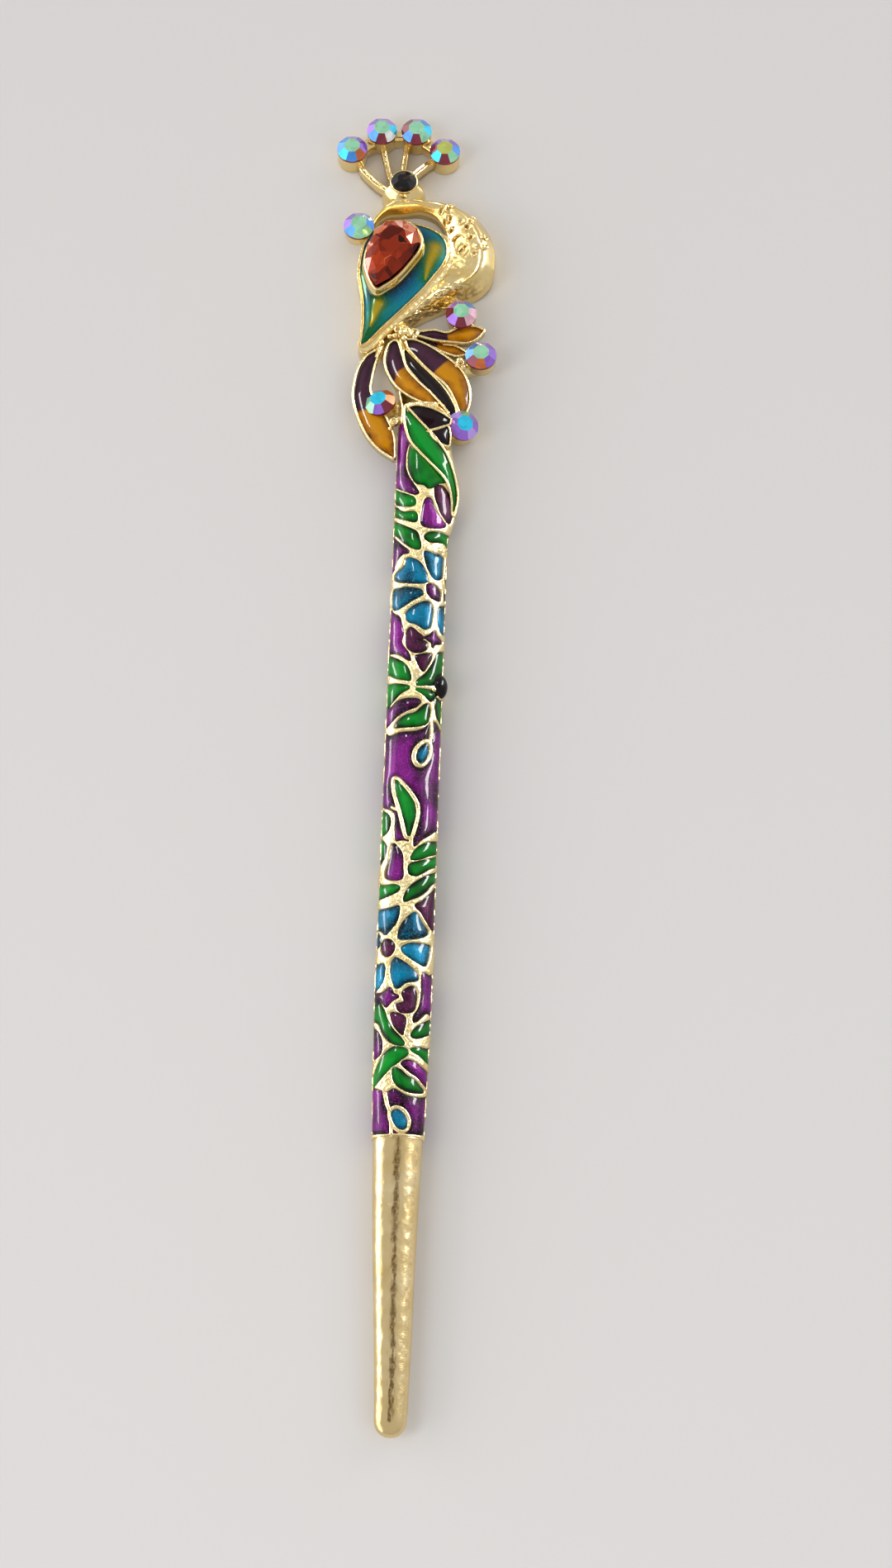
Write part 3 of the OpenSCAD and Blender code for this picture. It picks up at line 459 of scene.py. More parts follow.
# The cells as the camera sees them: colour, then outline. Beyond x 3.5 one runs round the
# flank, and the back repeats the face as a mould's two halves would.
CELLS = [
    ("purple", [(-2.3, 132), (-1.9, 130.5), (-1.55, 129.4), (-2, 128.7), (-2.3, 127.4), (-2.35, 126),
        (-2.25, 125), (-1.8, 123.8), (-1, 122.6), (-0.5, 121.5), (-2, 121.8), (-3.4, 122.4), (-4.3, 122.6),
        (-4.3, 131), (-3.4, 131.8)]),
    ("green", [(-1.55, 128.7), (-1.85, 127.4), (-1.95, 126.2), (-1.9, 125.3), (-1.5, 124.2), (-0.8, 123.1),
        (0.3, 122.9), (1, 122.4), (1.8, 122.6), (2.5, 123.1), (3.2, 123.4), (2.4, 124.9), (1.1, 126.4),
        (-0.1, 127.9), (-0.9, 129)]),
    ("plum", [(2.1, 122.5), (2.9, 122.6), (3.6, 121.5), (4, 120), (3.9, 118.3), (3.5, 117.3), (3, 118.5),
        (2.6, 119.8), (2.2, 121)]),
    ("purple", [(0.35, 117), (0.3, 119), (0.6, 120.5), (1.1, 120.9), (1.6, 120.5), (2, 119.2), (2.6, 118),
        (3, 116.8)]),
    ("green", [(-4.2, 121.7), (-3, 121.6), (-1.6, 121.2), (-0.9, 120.7), (-0.95, 119.9), (-2.2, 119.7),
        (-3.4, 119.9), (-4.2, 119.9)]),
    ("green", [(-4.2, 119.3), (-3.2, 119.2), (-2.4, 118.75), (-0.75, 118.8), (-0.65, 117.55), (-2, 117.75),
        (-3.3, 118.1), (-4.2, 118.2)]),
    ("green", [(-4.2, 117.2), (-3, 117), (-1.6, 116.5), (-0.5, 116), (-0.1, 115), (0.1, 114.1),
        (-0.1, 113.6), (-0.9, 113.75), (-1.8, 114.3), (-3, 115.3), (-4.2, 115.8)]),
    ("green", [(0.6, 115.3), (1.2, 115.9), (2.4, 115.9), (3.2, 115.5), (4.2, 115), (4.2, 113.6),
        (3.5, 113.4), (3.2, 114.3), (2.4, 114.6), (1.3, 114.65)]),
    ("purple", [(-4.2, 115), (-3.1, 114.5), (-2.4, 113.9), (-1.4, 113.1), (-2.1, 112.9), (-2.7, 112.2),
        (-3.1, 111.2), (-3.3, 110.3), (-4.2, 109.8)]),
    ("blue", [(-1.63, 112), (-1.18, 112.16), (-0.55, 112), (0.07, 111.6), (0.61, 110.8), (1.05, 109.7),
        (1.05, 109), (0.16, 108.8), (-2.4, 108.85), (-3.05, 109.2), (-2.95, 109.8), (-2.4, 110.4),
        (-1.8, 111.05)]),
    ("blue", [(0.7, 113), (1.14, 113.1), (2.04, 112.7), (2.93, 112.3), (3.1, 111.7), (3, 109.7),
        (2.48, 109.3), (1.95, 109.5), (1.5, 110.25), (1.05, 111.3)]),
    ("blue", [(-3.25, 107.3), (-2.2, 107.8), (-1.5, 108), (-0.46, 107.9), (0.34, 107.7), (0.6, 107.3),
        (0.25, 106.95), (-0.64, 106.4), (-1.54, 105.7), (-2.6, 104.9), (-3.15, 105.0), (-3.3, 105.8)]),
    ("blue", [(-1.18, 104.7), (-0.64, 105.25), (0.07, 105.7), (0.88, 106), (1.4, 105.96), (1.77, 105.4),
        (1.9, 104.5), (1.68, 102.8), (1.3, 102.4), (0.88, 102.4), (-0.02, 103), (-1, 103.3),
        (-1.45, 104.1)]),
    ("blue", [(2.75, 105.1), (3.3, 105.3), (4.2, 105.2), (4.2, 102), (3.25, 101.6), (2.85, 102.6),
        (2.7, 103.8)]),
    ("blue", [(3.4, 111), (4.3, 111), (4.3, 108.2), (3.45, 108.2)]),
    ("blue", [(3.35, 107.4), (4.3, 107.6), (4.3, 105.9), (3.4, 106)]),
    ("purple", [(1.25, 108.5), (1.9, 108.4), (2.5, 107.9), (2.85, 107.1), (2.75, 106.3), (2.1, 106.5),
        (1.5, 107), (1.2, 107.7)]),
    ("plum", [(-1.27, 101.5), (-0.9, 102.3), (-0.46, 102.25), (0.16, 101.7), (0.96, 101), (0.25, 100.8),
        (0.07, 100.4), (0.6, 100.7), (1.36, 100.25), (1.23, 99.5), (0.7, 99.1), (0.07, 99), (-0.64, 99.3),
        (-1.18, 99.9)]),
    ("purple", [(1.14, 101.05), (1.68, 101.3), (2.25, 101.8), (2.57, 101.2), (3.2, 100.3), (2.4, 100.2),
        (2.1, 99.8), (1.95, 100.4)]),
    ("purple", [(-4.2, 104.6), (-2.9, 104), (-2.3, 103.7), (-1.98, 102.6), (-1.75, 101.5), (-1.98, 100.4),
        (-1.7, 99.7), (-1.1, 99), (-0.7, 97.9), (-1.4, 98.3), (-2.25, 98.75), (-3.2, 98.7), (-4.2, 98.6)]),
    ("plum", [(0.16, 98.5), (1.95, 98.6), (1.3, 96.9), (0.96, 96.5), (0.34, 97.6)]),
    ("green", [(-4.2, 98), (-3.05, 98.05), (-1.7, 97.5), (-0.9, 96.6), (-0.55, 95.2), (-1.4, 95.2),
        (-2.4, 95.35), (-3.2, 95.7), (-4.2, 95.8)]),
    ("green", [(-4.2, 93.9), (-3.2, 94.2), (-2.6, 94.4), (-1.5, 94.4), (-0.64, 94.1), (-1.8, 93.2),
        (-2.8, 91.8), (-3.3, 91.2), (-4.2, 90.9)]),
    ("green", [(0.3, 94.5), (0.45, 95.15), (1.14, 95.75), (1.8, 96.6), (2.35, 97.7), (2.85, 98.8),
        (3.4, 98.9), (4.2, 98.6), (4.2, 96.2), (3, 95.7), (2.4, 94.6), (1.4, 94.55)]),
    ("green", [(0.25, 93.9), (1.2, 93.85), (2.04, 93.7), (2.8, 93.3), (2.5, 92.6), (2.04, 92.3),
        (1.5, 92.9), (0.95, 93.4)]),
    ("green", [(2.7, 92.6), (3.3, 92.2), (4.2, 92), (4.2, 88.6), (3.5, 88.8), (3, 90), (2.75, 91.3)]),
    ("purple", [(-4.2, 90.6), (-2.9, 91.1), (-2.2, 91.9), (-1.2, 92.4), (0.07, 92.5), (0.8, 92.25),
        (0.34, 91.6), (-0.8, 91.05), (-1.9, 90.3), (-3.05, 88.9), (-4.2, 88)]),
    ("green", [(-2.25, 88.6), (-1.8, 89.5), (-0.8, 90.25), (0.25, 90.6), (0.96, 91.3), (1.68, 91.8),
        (2.04, 91), (1.95, 90), (1.68, 89.2), (0.8, 88.9), (-1.7, 88.6)]),
    ("green", [(-4.2, 73), (-3.2, 73), (-2.8, 72.4), (-2.9, 71.3), (-3.3, 70.2), (-4.2, 69.8)]),
    ("purple", [(-1.98, 72.7), (-1.36, 72.3), (-0.8, 71.4), (-0.7, 70), (-0.8, 68.3), (-2.7, 68.5),
        (-2.2, 70.7)]),
    ("green", [(0.43, 70.9), (0.7, 71.7), (1.14, 72.3), (1.8, 72.8), (2.6, 73.1), (3.4, 73.1), (4.2, 72.9),
        (4.2, 71.8), (2.8, 71.5), (1.5, 70.95)]),
    ("green", [(0.16, 69.3), (0.25, 70.1), (1.14, 70.55), (2.84, 70.9), (4.2, 71.2), (4.2, 70.1),
        (2.9, 69.8), (1.7, 69.1), (1.14, 68.8), (0.4, 68.9)]),
    ("green", [(-0.29, 65.4), (0, 66.6), (0.8, 67.6), (1.8, 68.3), (2.8, 68.8), (4.2, 69.1), (4.2, 68.2),
        (3, 67.6), (2.4, 66.8), (1.5, 66.1), (0.6, 65.7)]),
    ("green", [(-4.2, 67.2), (-3, 67.2), (-1.5, 67.4), (-0.9, 67), (-1.9, 66.2), (-3.3, 65.5),
        (-4.2, 65.3)]),
    ("plum", [(1.2, 64.8), (2, 65.3), (3, 66.3), (4.2, 67.2), (4.2, 61.6), (3.2, 61.8), (2.6, 62.8),
        (1.9, 64)]),
    ("blue", [(-4.2, 63.6), (-2.96, 64), (-1.65, 64.4), (-0.95, 64.6), (-0.95, 63.6), (-1.25, 62.5),
        (-1.87, 61.65), (-2.4, 61), (-3, 61.4), (-4.2, 61.8)]),
    ("blue", [(-0.78, 61), (-0.57, 61.9), (0, 62.85), (0.74, 63.6), (1.28, 63.7), (2.04, 62.4),
        (2.74, 61.3), (1.8, 60.7), (-0.57, 60.5)]),
    ("blue", [(-0.3, 59), (0, 59.5), (1.17, 59.8), (2.7, 59.6), (3.1, 59.3), (2.8, 57.5), (2.37, 57.1),
        (0.74, 58.1)]),
    ("blue", [(-1.54, 56.9), (-1.3, 57.6), (-0.9, 57.85), (0.74, 56.8), (1.6, 55.8), (1.6, 55.2),
        (0.3, 54.9), (-0.8, 54.15), (-1.5, 55.6)]),
    ("blue", [(-4.2, 56.6), (-3.2, 56.8), (-2.6, 57), (-2.4, 56.2), (-2.6, 54.9), (-3.2, 53.8),
        (-4.2, 53.2)]),
    ("blue", [(-4.2, 60.9), (-3.3, 60.8), (-3, 60), (-3.3, 59.2), (-4.2, 59)]),
    ("plum", [(-2.9, 59.2), (-2.6, 60), (-2, 60.2), (-1.4, 59.7), (-1.35, 59), (-1.8, 58.3), (-2.5, 58.3)]),
    ("purple", [(-4.2, 53), (-3.2, 53.1), (-2.4, 53.4), (-1.65, 54), (-1.2, 53.3), (-0.57, 53),
        (-1.3, 52.5), (-2, 51.7), (-2.7, 52.2), (-4.2, 52.2)]),
    ("plum", [(-0.02, 53.4), (0.74, 54.15), (1.28, 54.15), (1.6, 53.4), (1.57, 52.1), (1.17, 51.2),
        (-0.24, 51.1), (-0.67, 51.9), (-0.13, 52.1), (0.3, 52.4)]),
    ("plum", [(-1.3, 50.8), (0.3, 50.35), (0.2, 48.6), (-0.02, 48.35), (-0.96, 49.4)]),
    ("purple", [(2.3, 55.7), (2.7, 55.9), (3.1, 55.6), (4.2, 55.4), (4.2, 50.8), (2.96, 51), (2.2, 50.4),
        (1.5, 49.8), (1.55, 50.6), (2.1, 51.6), (2.35, 53.4)]),
    ("green", [(-4.2, 51.6), (-2.9, 52), (-2.3, 51.2), (-1.8, 49.9), (-1.1, 48.8), (-0.2, 47.9), (0.4, 47),
        (-0.3, 46.9), (-1.4, 47.3), (-2.3, 48.3), (-2.9, 49.5), (-4.2, 50)]),
    ("green", [(0.9, 45.9), (0.3, 46.5), (-0.9, 46.5), (-1.9, 45.7), (-2.6, 44.4), (-3.2, 42.9), (-4.2, 42),
        (-4.2, 40.4), (-3.3, 41), (-2.3, 42.6), (-1.2, 44), (0, 45)]),
    ("green", [(1.25, 48), (1.6, 48.8), (2.3, 49.4), (3.24, 49.9), (4.2, 50), (4.2, 48.6), (2.9, 48.1),
        (2, 47.8)]),
    ("green", [(1.25, 46.3), (2.2, 46.5), (3.1, 46.3), (4.2, 46.2), (4.2, 44.2), (3.1, 44.8), (2.3, 45.6)]),
    ("green", [(-0.9, 43.5), (-0.67, 43.95), (0.2, 43.6), (0.9, 42.95), (1.8, 42.4), (2.5, 41.6), (2.9, 41),
        (1.9, 40.95), (0.9, 41.15), (-0.1, 41.7), (-0.75, 42.5)]),
    ("purple", [(-4.2, 48.6), (-3, 48.3), (-2.5, 47.4), (-2.4, 46.2), (-2.8, 45.3), (-4.2, 45)]),
    ("purple", [(0.2, 44.5), (0.8, 44.9), (1.6, 44.7), (2.4, 44.1), (3.2, 43.4), (4.2, 42.8), (4.2, 41.4),
        (3, 41.9), (2.2, 42.9), (1.2, 43.6)])]
# Open ground, which is purple, and the leaves and buds that stand in it inside a gold rim
GROUNDS = [
    [(-4.5, 87), (-2.9, 87.3), (-1.5, 87.9), (0.2, 88.1), (1.4, 88.5), (2.2, 89.4), (2.9, 89.2),
     (3.4, 88.2), (4.5, 87.2), (4.5, 75.2), (3.2, 74.6), (2.4, 74), (1.5, 73.4), (0.8, 72.6), (0.2, 73.2),
     (-0.9, 73.4), (-1.6, 73.3), (-1.9, 74.6), (-2, 76.9), (-2.9, 77.5), (-4.5, 77.6)],
    [(-4.5, 41.3), (-3.0, 41.2), (-2.3, 41.05), (-1.5, 40.9), (-0.6, 41.35), (0.9, 40.6), (2.1, 40.3),
     (2.9, 40.25), (4.5, 40.2), (4.5, 36), (0, 35.9), (-4.5, 36)]]
RIMMED = [
    ("blue", 0.8, [(0.75, 84.3), (0.8, 85.2), (1.2, 85.9), (1.75, 86.3), (2, 85.6), (1.75, 84.6),
        (1.2, 83.9)]),
    ("green", 0.68, [(-1.93, 81.3), (-1.54, 81), (-0.64, 80), (0.16, 78.9), (0.6, 78), (0.7, 76.8),
        (0.5, 75.7), (0, 74), (-0.55, 75.7), (-0.9, 77), (-1.36, 78.4), (-1.86, 80)]),
    ("green", 0.6, [(-4.2, 76.9), (-3, 76.8), (-2.5, 76.2), (-2.45, 75.2), (-2.9, 74.2), (-4.2, 73.8)]),
    ("blue", 0.7, [(-0.75, 38.3), (-0.3, 38.7), (0.4, 38.4), (0.95, 37.6), (0.95, 36.8), (0.5, 36.5),
        (-0.1, 36.8), (-0.6, 37.5)])]
# Gold stems: points, and half the width
STEMS = [
    ([(2.1, 86.6), (2.4, 87.6), (2.3, 89.6)], 0.3),
    ([(-0.9, 38.2), (-1.5, 39.6), (-2, 41.9)], 0.32),
    ([(-0.9, 37.6), (-0.8, 35.8)], 0.28),
    ([(0.3, 74), (0.35, 72.4)], 0.3),
    ([(-1.6, 77.4), (-2.3, 77.7)], 0.25)]
FILL = {"purple": 0, "plum": 1, "green": 2, "blue": 3}
LET_OUT = (0.13, 0.13, 0.09, 0.13)     # how far each colour's cells reach past their outlines
NEAR = 0.8                             # how far past an outline its distance is worked out
PLAIN = 1.5                            # the distance given to gold far from any cell


def walls_and_cells(run, seen_y):
    """For points of the face, by length round it and y as seen: how far each is from the
    nearest cell edge, above 0 in gold and below 0 in enamel, and the nearest cell's colour.
    Open ground is cut back by its rims and stems, and a fine seam runs down each flank."""
    flat_run, flat_y = run.ravel(), seen_y.ravel()
    gold, colour = np.full(run.size, PLAIN), np.zeros(run.size, int)
    cells = [(FILL[name], flowing(on_face(points), 56, True)) for name, points in CELLS]
    leaves = [(rim, FILL[name], flowing(on_face(points), 56, True)) for name, rim, points in RIMMED]
    stems = [(half, on_face(flowing(points, 16))) for points, half in STEMS]

    def near(outline):
        """The points that lie near an outline's box."""
        low, high = outline.min(0) - NEAR, outline.max(0) + NEAR
        return np.flatnonzero((flat_run > low[0]) & (flat_run < high[0])
                              & (flat_y > low[1]) & (flat_y < high[1]))

    def take(at, distance, shade):
        """Gives points a cell's distance and colour where that cell is the nearest yet."""
        nearer = distance < gold[at]
        gold[at[nearer]], colour[at[nearer]] = distance[nearer], shade

    for ground in GROUNDS:
        outline = flowing(on_face(ground), 160, True)
        at = near(outline)
        open_by = distance_to(flat_run[at], flat_y[at], outline)
        for rim, _, leaf in leaves:
            open_by = np.maximum(open_by, rim - distance_to(flat_run[at], flat_y[at], leaf))
        for half, stem in stems:
            open_by = np.maximum(open_by, half - distance_to(flat_run[at], flat_y[at], stem, False))
        take(at, open_by, FILL["purple"])
    for shade, outline in cells + [leaf[1:] for leaf in leaves]:
        at = near(outline)
        take(at, distance_to(flat_run[at], flat_y[at], outline) - LET_OUT[shade], shade)
    seam = 0.10 + 0.07 * grain(flat_y, flat_run, 0.45, 5) - np.abs(np.abs(flat_run) - FOLD_RUN)
    return np.maximum(gold, seam).reshape(run.shape), colour.reshape(run.shape)


def bar_point(turn, y, out):
    """A point of the bar at an angle round it and a y, out mm proud of its wall tops. The
    section is an ellipse, the right flank swells where the leaf leaves it, and the plain
    tip bends a little to the right."""
    w = half_width(y)
    swell = flank_swell(y) * np.clip(np.sin(turn), 0, 1) ** 2 * (np.cos(turn) > -0.7)
    bend = 0.35 * (1 - eased(y, 3.0, 30.0))
    return np.stack([(w + out + swell) * np.sin(turn) + bend, y + 0 * turn,
                     AXIS_Z + (w * SHAFT_HALF_T / SHAFT_HALF_W + out) * np.cos(turn)], -1)


def shaft_rows(low, high, step, count):
    """The grid of a length of bar: rows along it, angles round it, and each point's length
    round the face and y as seen."""
    y = np.linspace(low, high, int(round((high - low) / step)) + 1)
    turn, y = np.meshgrid(section_turn(count), y)
    seen_y = y - lean(y) * SHAFT_HALF_T * (1 - np.abs(np.cos(turn)))
    return turn, y, face_run(turn), seen_y


SHOULDER = 0.26           # radius of a wall's rounded shoulder
CELL_SLOPE = 2.2          # fall of its side for each mm toward the cell
CELL_FLOOR = -0.62


def gilt_length(name, low, high, step, count, nodes=()):
    """A length of the gilt bar. Each point sinks from a wall's round shoulder into the cell
    floor by its distance from the cell's edge, and grain roughens the tops."""
    turn, y, run, seen_y = shaft_rows(low, high, step, count)
    enamelled = high > SLEEVE_Y + 1
    gold = walls_and_cells(run, seen_y)[0] if enamelled else np.full(run.shape, PLAIN)
    inward = np.clip(SHOULDER - gold, 0, SHOULDER)
    out = np.sqrt(SHOULDER ** 2 - inward ** 2) - SHOULDER
    out = np.where(gold < 0, np.maximum(-SHOULDER + CELL_SLOPE * gold, CELL_FLOOR), out)
    on_top = eased(gold, 0.02, 0.2)
    walled = eased(y, SLEEVE_Y - 0.3, SLEEVE_Y + 0.3)
    out = out + on_top * walled * (0.030 * grain(run, y, 0.22, 11) + 0.022 * grain(run, y, 0.4, 12)
                                   + 0.02 * grain(run, y, 1.1, 13))
    rippled = (grain(run, y, 0.45, 14) * 0.009 + grain(run, y, 0.9, 15) * 0.016
               + grain(run, y * 0.4, 1.5, 16) * 0.012)
    out = out + (1 - walled) * rippled * eased(y, 0.0, 2.0)
    # Painted shade: brown where each wall drops to the enamel, at the walls' feet
    hollow = (1 - eased(gold, 0.0, 0.10)) * 0.7 * walled
    put_in(name, *lofted(bar_point(turn, y, out)), gilt_wall if enamelled else gilt_sleeve,
           "gilt_metal", nodes, {"hollow": ends_added(hollow)})


gilt_sleeve = gilding("pale_gold_plate_plain_tip", ("#dcc084", "#ecd6a4"), 0.20, 0.014, 0.11)
gilt_length("plain_tip", 0.0, SLEEVE_Y, 0.14, 132, ["casting"])
shaft_ends = np.linspace(SLEEVE_Y, ENAMEL_TOP_Y, 5)
for number in range(4):
    gilt_length(f"gilt_shaft_{number + 1}", shaft_ends[number], shaft_ends[number + 1], 0.076, 244)


# Shaft enamel
# Soft enamel, an epoxy colour poured into the cells and cured glossy. It stands a little
# domed between the walls, darkened at their feet by painted shade, with mica glitter in it.

# The clear top of poured enamel: sharp reflections, but weak ones
POLISH = {"Specular IOR Level": 0.05, "Coat Weight": 0.35, "Coat Roughness": 0.02}
FLAKE_SCALE = 13000.0     # cells to the metre: flakes about 0.08 mm across


def flakes_in(tree, place, share, most):
    """Mica flakes, coarser than real ones so that they show: a share of small cells, each
    picked by its random value. Returns the cells and how lit each is, up to the most."""
    cells = add(tree, "ShaderNodeTexVoronoi", inputs={"Scale": FLAKE_SCALE}, Vector=place)
    pick = add(tree, "ShaderNodeSeparateColor", Color=cells.outputs["Color"]).outputs[0]
    lit = add(tree, "ShaderNodeMapRange", {}, {1: 1 - share, 2: 1.0, 3: 0.0, 4: most}, _0=pick).outputs[0]
    return cells, lit


def cloudy_depth(tree, place, scale, detail, mottle):
    """The value "depth", in mm from the wall, moved either way by slow noise."""
    wall = add(tree, "ShaderNodeAttribute", {"attribute_name": "depth"}).outputs["Fac"]
    cloud = add(tree, "ShaderNodeTexNoise", inputs={"Scale": scale, "Detail": detail}, Vector=place)
    shift = add(tree, "ShaderNodeMapRange", {}, {1: 0.3, 2: 0.7, 3: -mottle, 4: mottle},
                _0=cloud.outputs["Fac"]).outputs[0]
    return add(tree, "ShaderNodeMath", {"operation": "ADD"}, _0=wall, _1=shift).outputs[0]


def enamel(name, shades, glitter=0.0, flake="#ffffff", mottle=0.35):
    """Poured enamel. The value "depth", in mm from the wall, runs through three shades from
    the dark line of painted shade at the wall's foot to the full colour, and slow noise
    shifts them in patches about 3 mm across. Glitter is the share of mica flakes in it."""
    fill, tree, shader, place = blank_finish(
        name, {"Roughness": 0.16, "Metallic": 0.15 if glitter else 0.0, **POLISH})
    reach = cloudy_depth(tree, place, 300.0, 2.0, mottle)
    body = stops(add(tree, "ShaderNodeValToRGB", Fac=reach),
                 [(0.0, shades[0]), (0.22, shades[1]), (0.85, shades[2])]).outputs["Color"]
    if glitter:
        cells, lit = flakes_in(tree, place, glitter, 0.4)
        body = add(tree, "ShaderNodeMix", {"data_type": "RGBA"}, {7: linear(flake)},
                   _0=lit, _6=body).outputs[2]
        tilt = add(tree, "ShaderNodeBump", inputs={"Strength": 0.45, "Distance": 0.00004},
                   Height=cells.outputs["Distance"])
        tree.links.new(tilt.outputs[0], shader.inputs["Normal"])
    tree.links.new(body, shader.inputs["Base Color"])
    return fill


# The first shade of each is the painted shade at the walls' feet
purple_fill = enamel("purple_glitter_enamel", ("#18060f", "#360a32", "#78147a"), 0.12, "#d868dc", mottle=0.5)
plum_fill = enamel("dark_plum_enamel", ("#1c060e", "#340e28", "#561a44"), 0.05, "#b86aa0")
green_fill = enamel("green_enamel", ("#04240a", "#055a16", "#08922a"))
blue_fill = enamel("blue_glitter_enamel", ("#041c28", "#053c56", "#037aa2"), 0.16, "#30d4f8", mottle=0.55)
# Each colour's finish, slot and nodes, in the order of FILL
FINISH = [
    (purple_fill, "purple_enamel", ["shaft_purple", "back_enamel"]),
    (plum_fill, "plum_enamel", ["shaft_plum"]),
    (green_fill, "green_enamel", ["shaft_green"]),
    (blue_fill, "blue_enamel", ["shaft_blue"])]
ENAMEL_FOOT = -0.75       # its hidden underside, down from the wall tops


def closed_skin(top, bottom, faces):
    """A thin closed body from the kept faces of a grid: the upper skin, the same faces on
    the lower points turned over, and a wall along every edge that only one face has."""
    used, new = np.unique(faces, return_inverse=True)
    faces = new.reshape(faces.shape)
    n = len(used)
    edges = np.stack([faces, np.roll(faces, -1, 1)], -1).reshape(-1, 2)
    key = np.sort(edges, 1) @ np.array([n, 1])
    _, first, count = np.unique(key, return_index=True, return_counts=True)
    open_edges = edges[first[count == 1]]
    wall = np.stack([open_edges[:, 1], open_edges[:, 0], open_edges[:, 0] + n, open_edges[:, 1] + n], 1)
    return used, np.concatenate([top[used], bottom[used]]), [faces, faces[:, ::-1] + n, wall]


turn, y, run, seen_y = shaft_rows(SLEEVE_Y, 132.6, 0.115, 162)
gold, colour = walls_and_cells(run, seen_y)
inside = np.clip(-gold, 0, None)
swelling = -0.17 + 0.15 * (1 - np.exp(-inside / 0.5)) + 0.03 * grain(run, y, 1.7, 21)
top = bar_point(turn, y, swelling).reshape(-1, 3)
bottom = bar_point(turn, y, np.full(y.shape, ENAMEL_FOOT)).reshape(-1, 3)
quads = grid_faces(*y.shape)
kept = gold.ravel()[quads].min(1) < 0.05
for shade, (finish, slot_name, nodes) in enumerate(FINISH):
    chosen = kept & ((colour.ravel()[quads] == shade).sum(1) >= 2)
    used, points, faces = closed_skin(top, bottom, quads[chosen])
    put_in(f"{slot_name}_of_shaft", points, faces, finish, slot_name, nodes,
           {"depth": np.tile(np.minimum(inside, 0.6).ravel()[used], 2)})


# Petals and leaf
# The petals are gilt trays cast with the head, each with a fine raised rim, filled with
# translucent enamel that runs from plum at the root to amber at the tip.

PETAL_ROWS = 110          # rows of points from a petal's root to its tip
PETAL_ACROSS = 27         # points from side to side
LOOP_POINTS = 260         # points round its rim
TRAY_DEEP = 0.75          # from a petal's charted edge down to its back
DOME = 0.34               # rise of the enamel toward a petal's middle


def seen_at(points, plane, z):
    """Points drawn as the camera sees them on a level plane, moved along the stick to where
    they are at their real heights z."""
    p = np.asarray(points, float)
    return np.column_stack([p[:, 0], p[:, 1] + (plane - z) * lean(p[:, 1]), z * np.ones(len(p))])


def petal_side(points, plane, heights):
    """One side of a petal from root to tip, at heights interpolated along the side."""
    line = flowing(points, PETAL_ROWS)
    along_it = np.linspace(0, 1, PETAL_ROWS)
    return seen_at(line, plane, np.interp(along_it, np.linspace(0, 1, len(heights)), heights))


def outward(loop):
    """Unit normals pointing out of a closed level loop, smoothed over its neighbours."""
    way = np.roll(loop, -2, 0) - np.roll(loop, 2, 0)
    out = np.stack([way[:, 1], -way[:, 0]], 1)
    out /= np.linalg.norm(out, axis=1)[:, None] + 1e-12
    area = np.sum(loop[:, 0] * np.roll(loop[:, 1], -1) - loop[:, 1] * np.roll(loop[:, 0], -1))
    return out * np.sign(area)


def carried(loop, profile, spread=None):
    """A profile of points, out and up, carried round a closed loop that keeps it upright.
    spread scales how far out it reaches at each place. Returns points and faces."""
    out = outward(loop[:, :2])
    reach = profile[None, :, 0] * (1 if spread is None else spread[:, None])
    points = np.empty((len(loop), len(profile), 3))
    points[..., :2] = loop[:, None, :2] + out[:, None] * reach[..., None]
    points[..., 2] = loop[:, None, 2] + profile[None, :, 1]
    return points.reshape(-1, 3), [grid_faces(len(loop), len(profile), True)]


def bead(half, up, foot):
    """A rim's profile: a half-round top of the given half width, with walls down to foot."""
    a = np.linspace(0, np.pi, 14)
    arch = np.stack([half * np.cos(a), up + half * 0.9 * np.sin(a)], 1)
    return np.concatenate([arch, [[-half, foot], [half, foot]]])


def there_and_back(over, under):
    """Closes rows of a petal into rings: across over it, and back across under it."""
    return np.concatenate([over, under[:, ::-1][:, 1:-1]], 1)


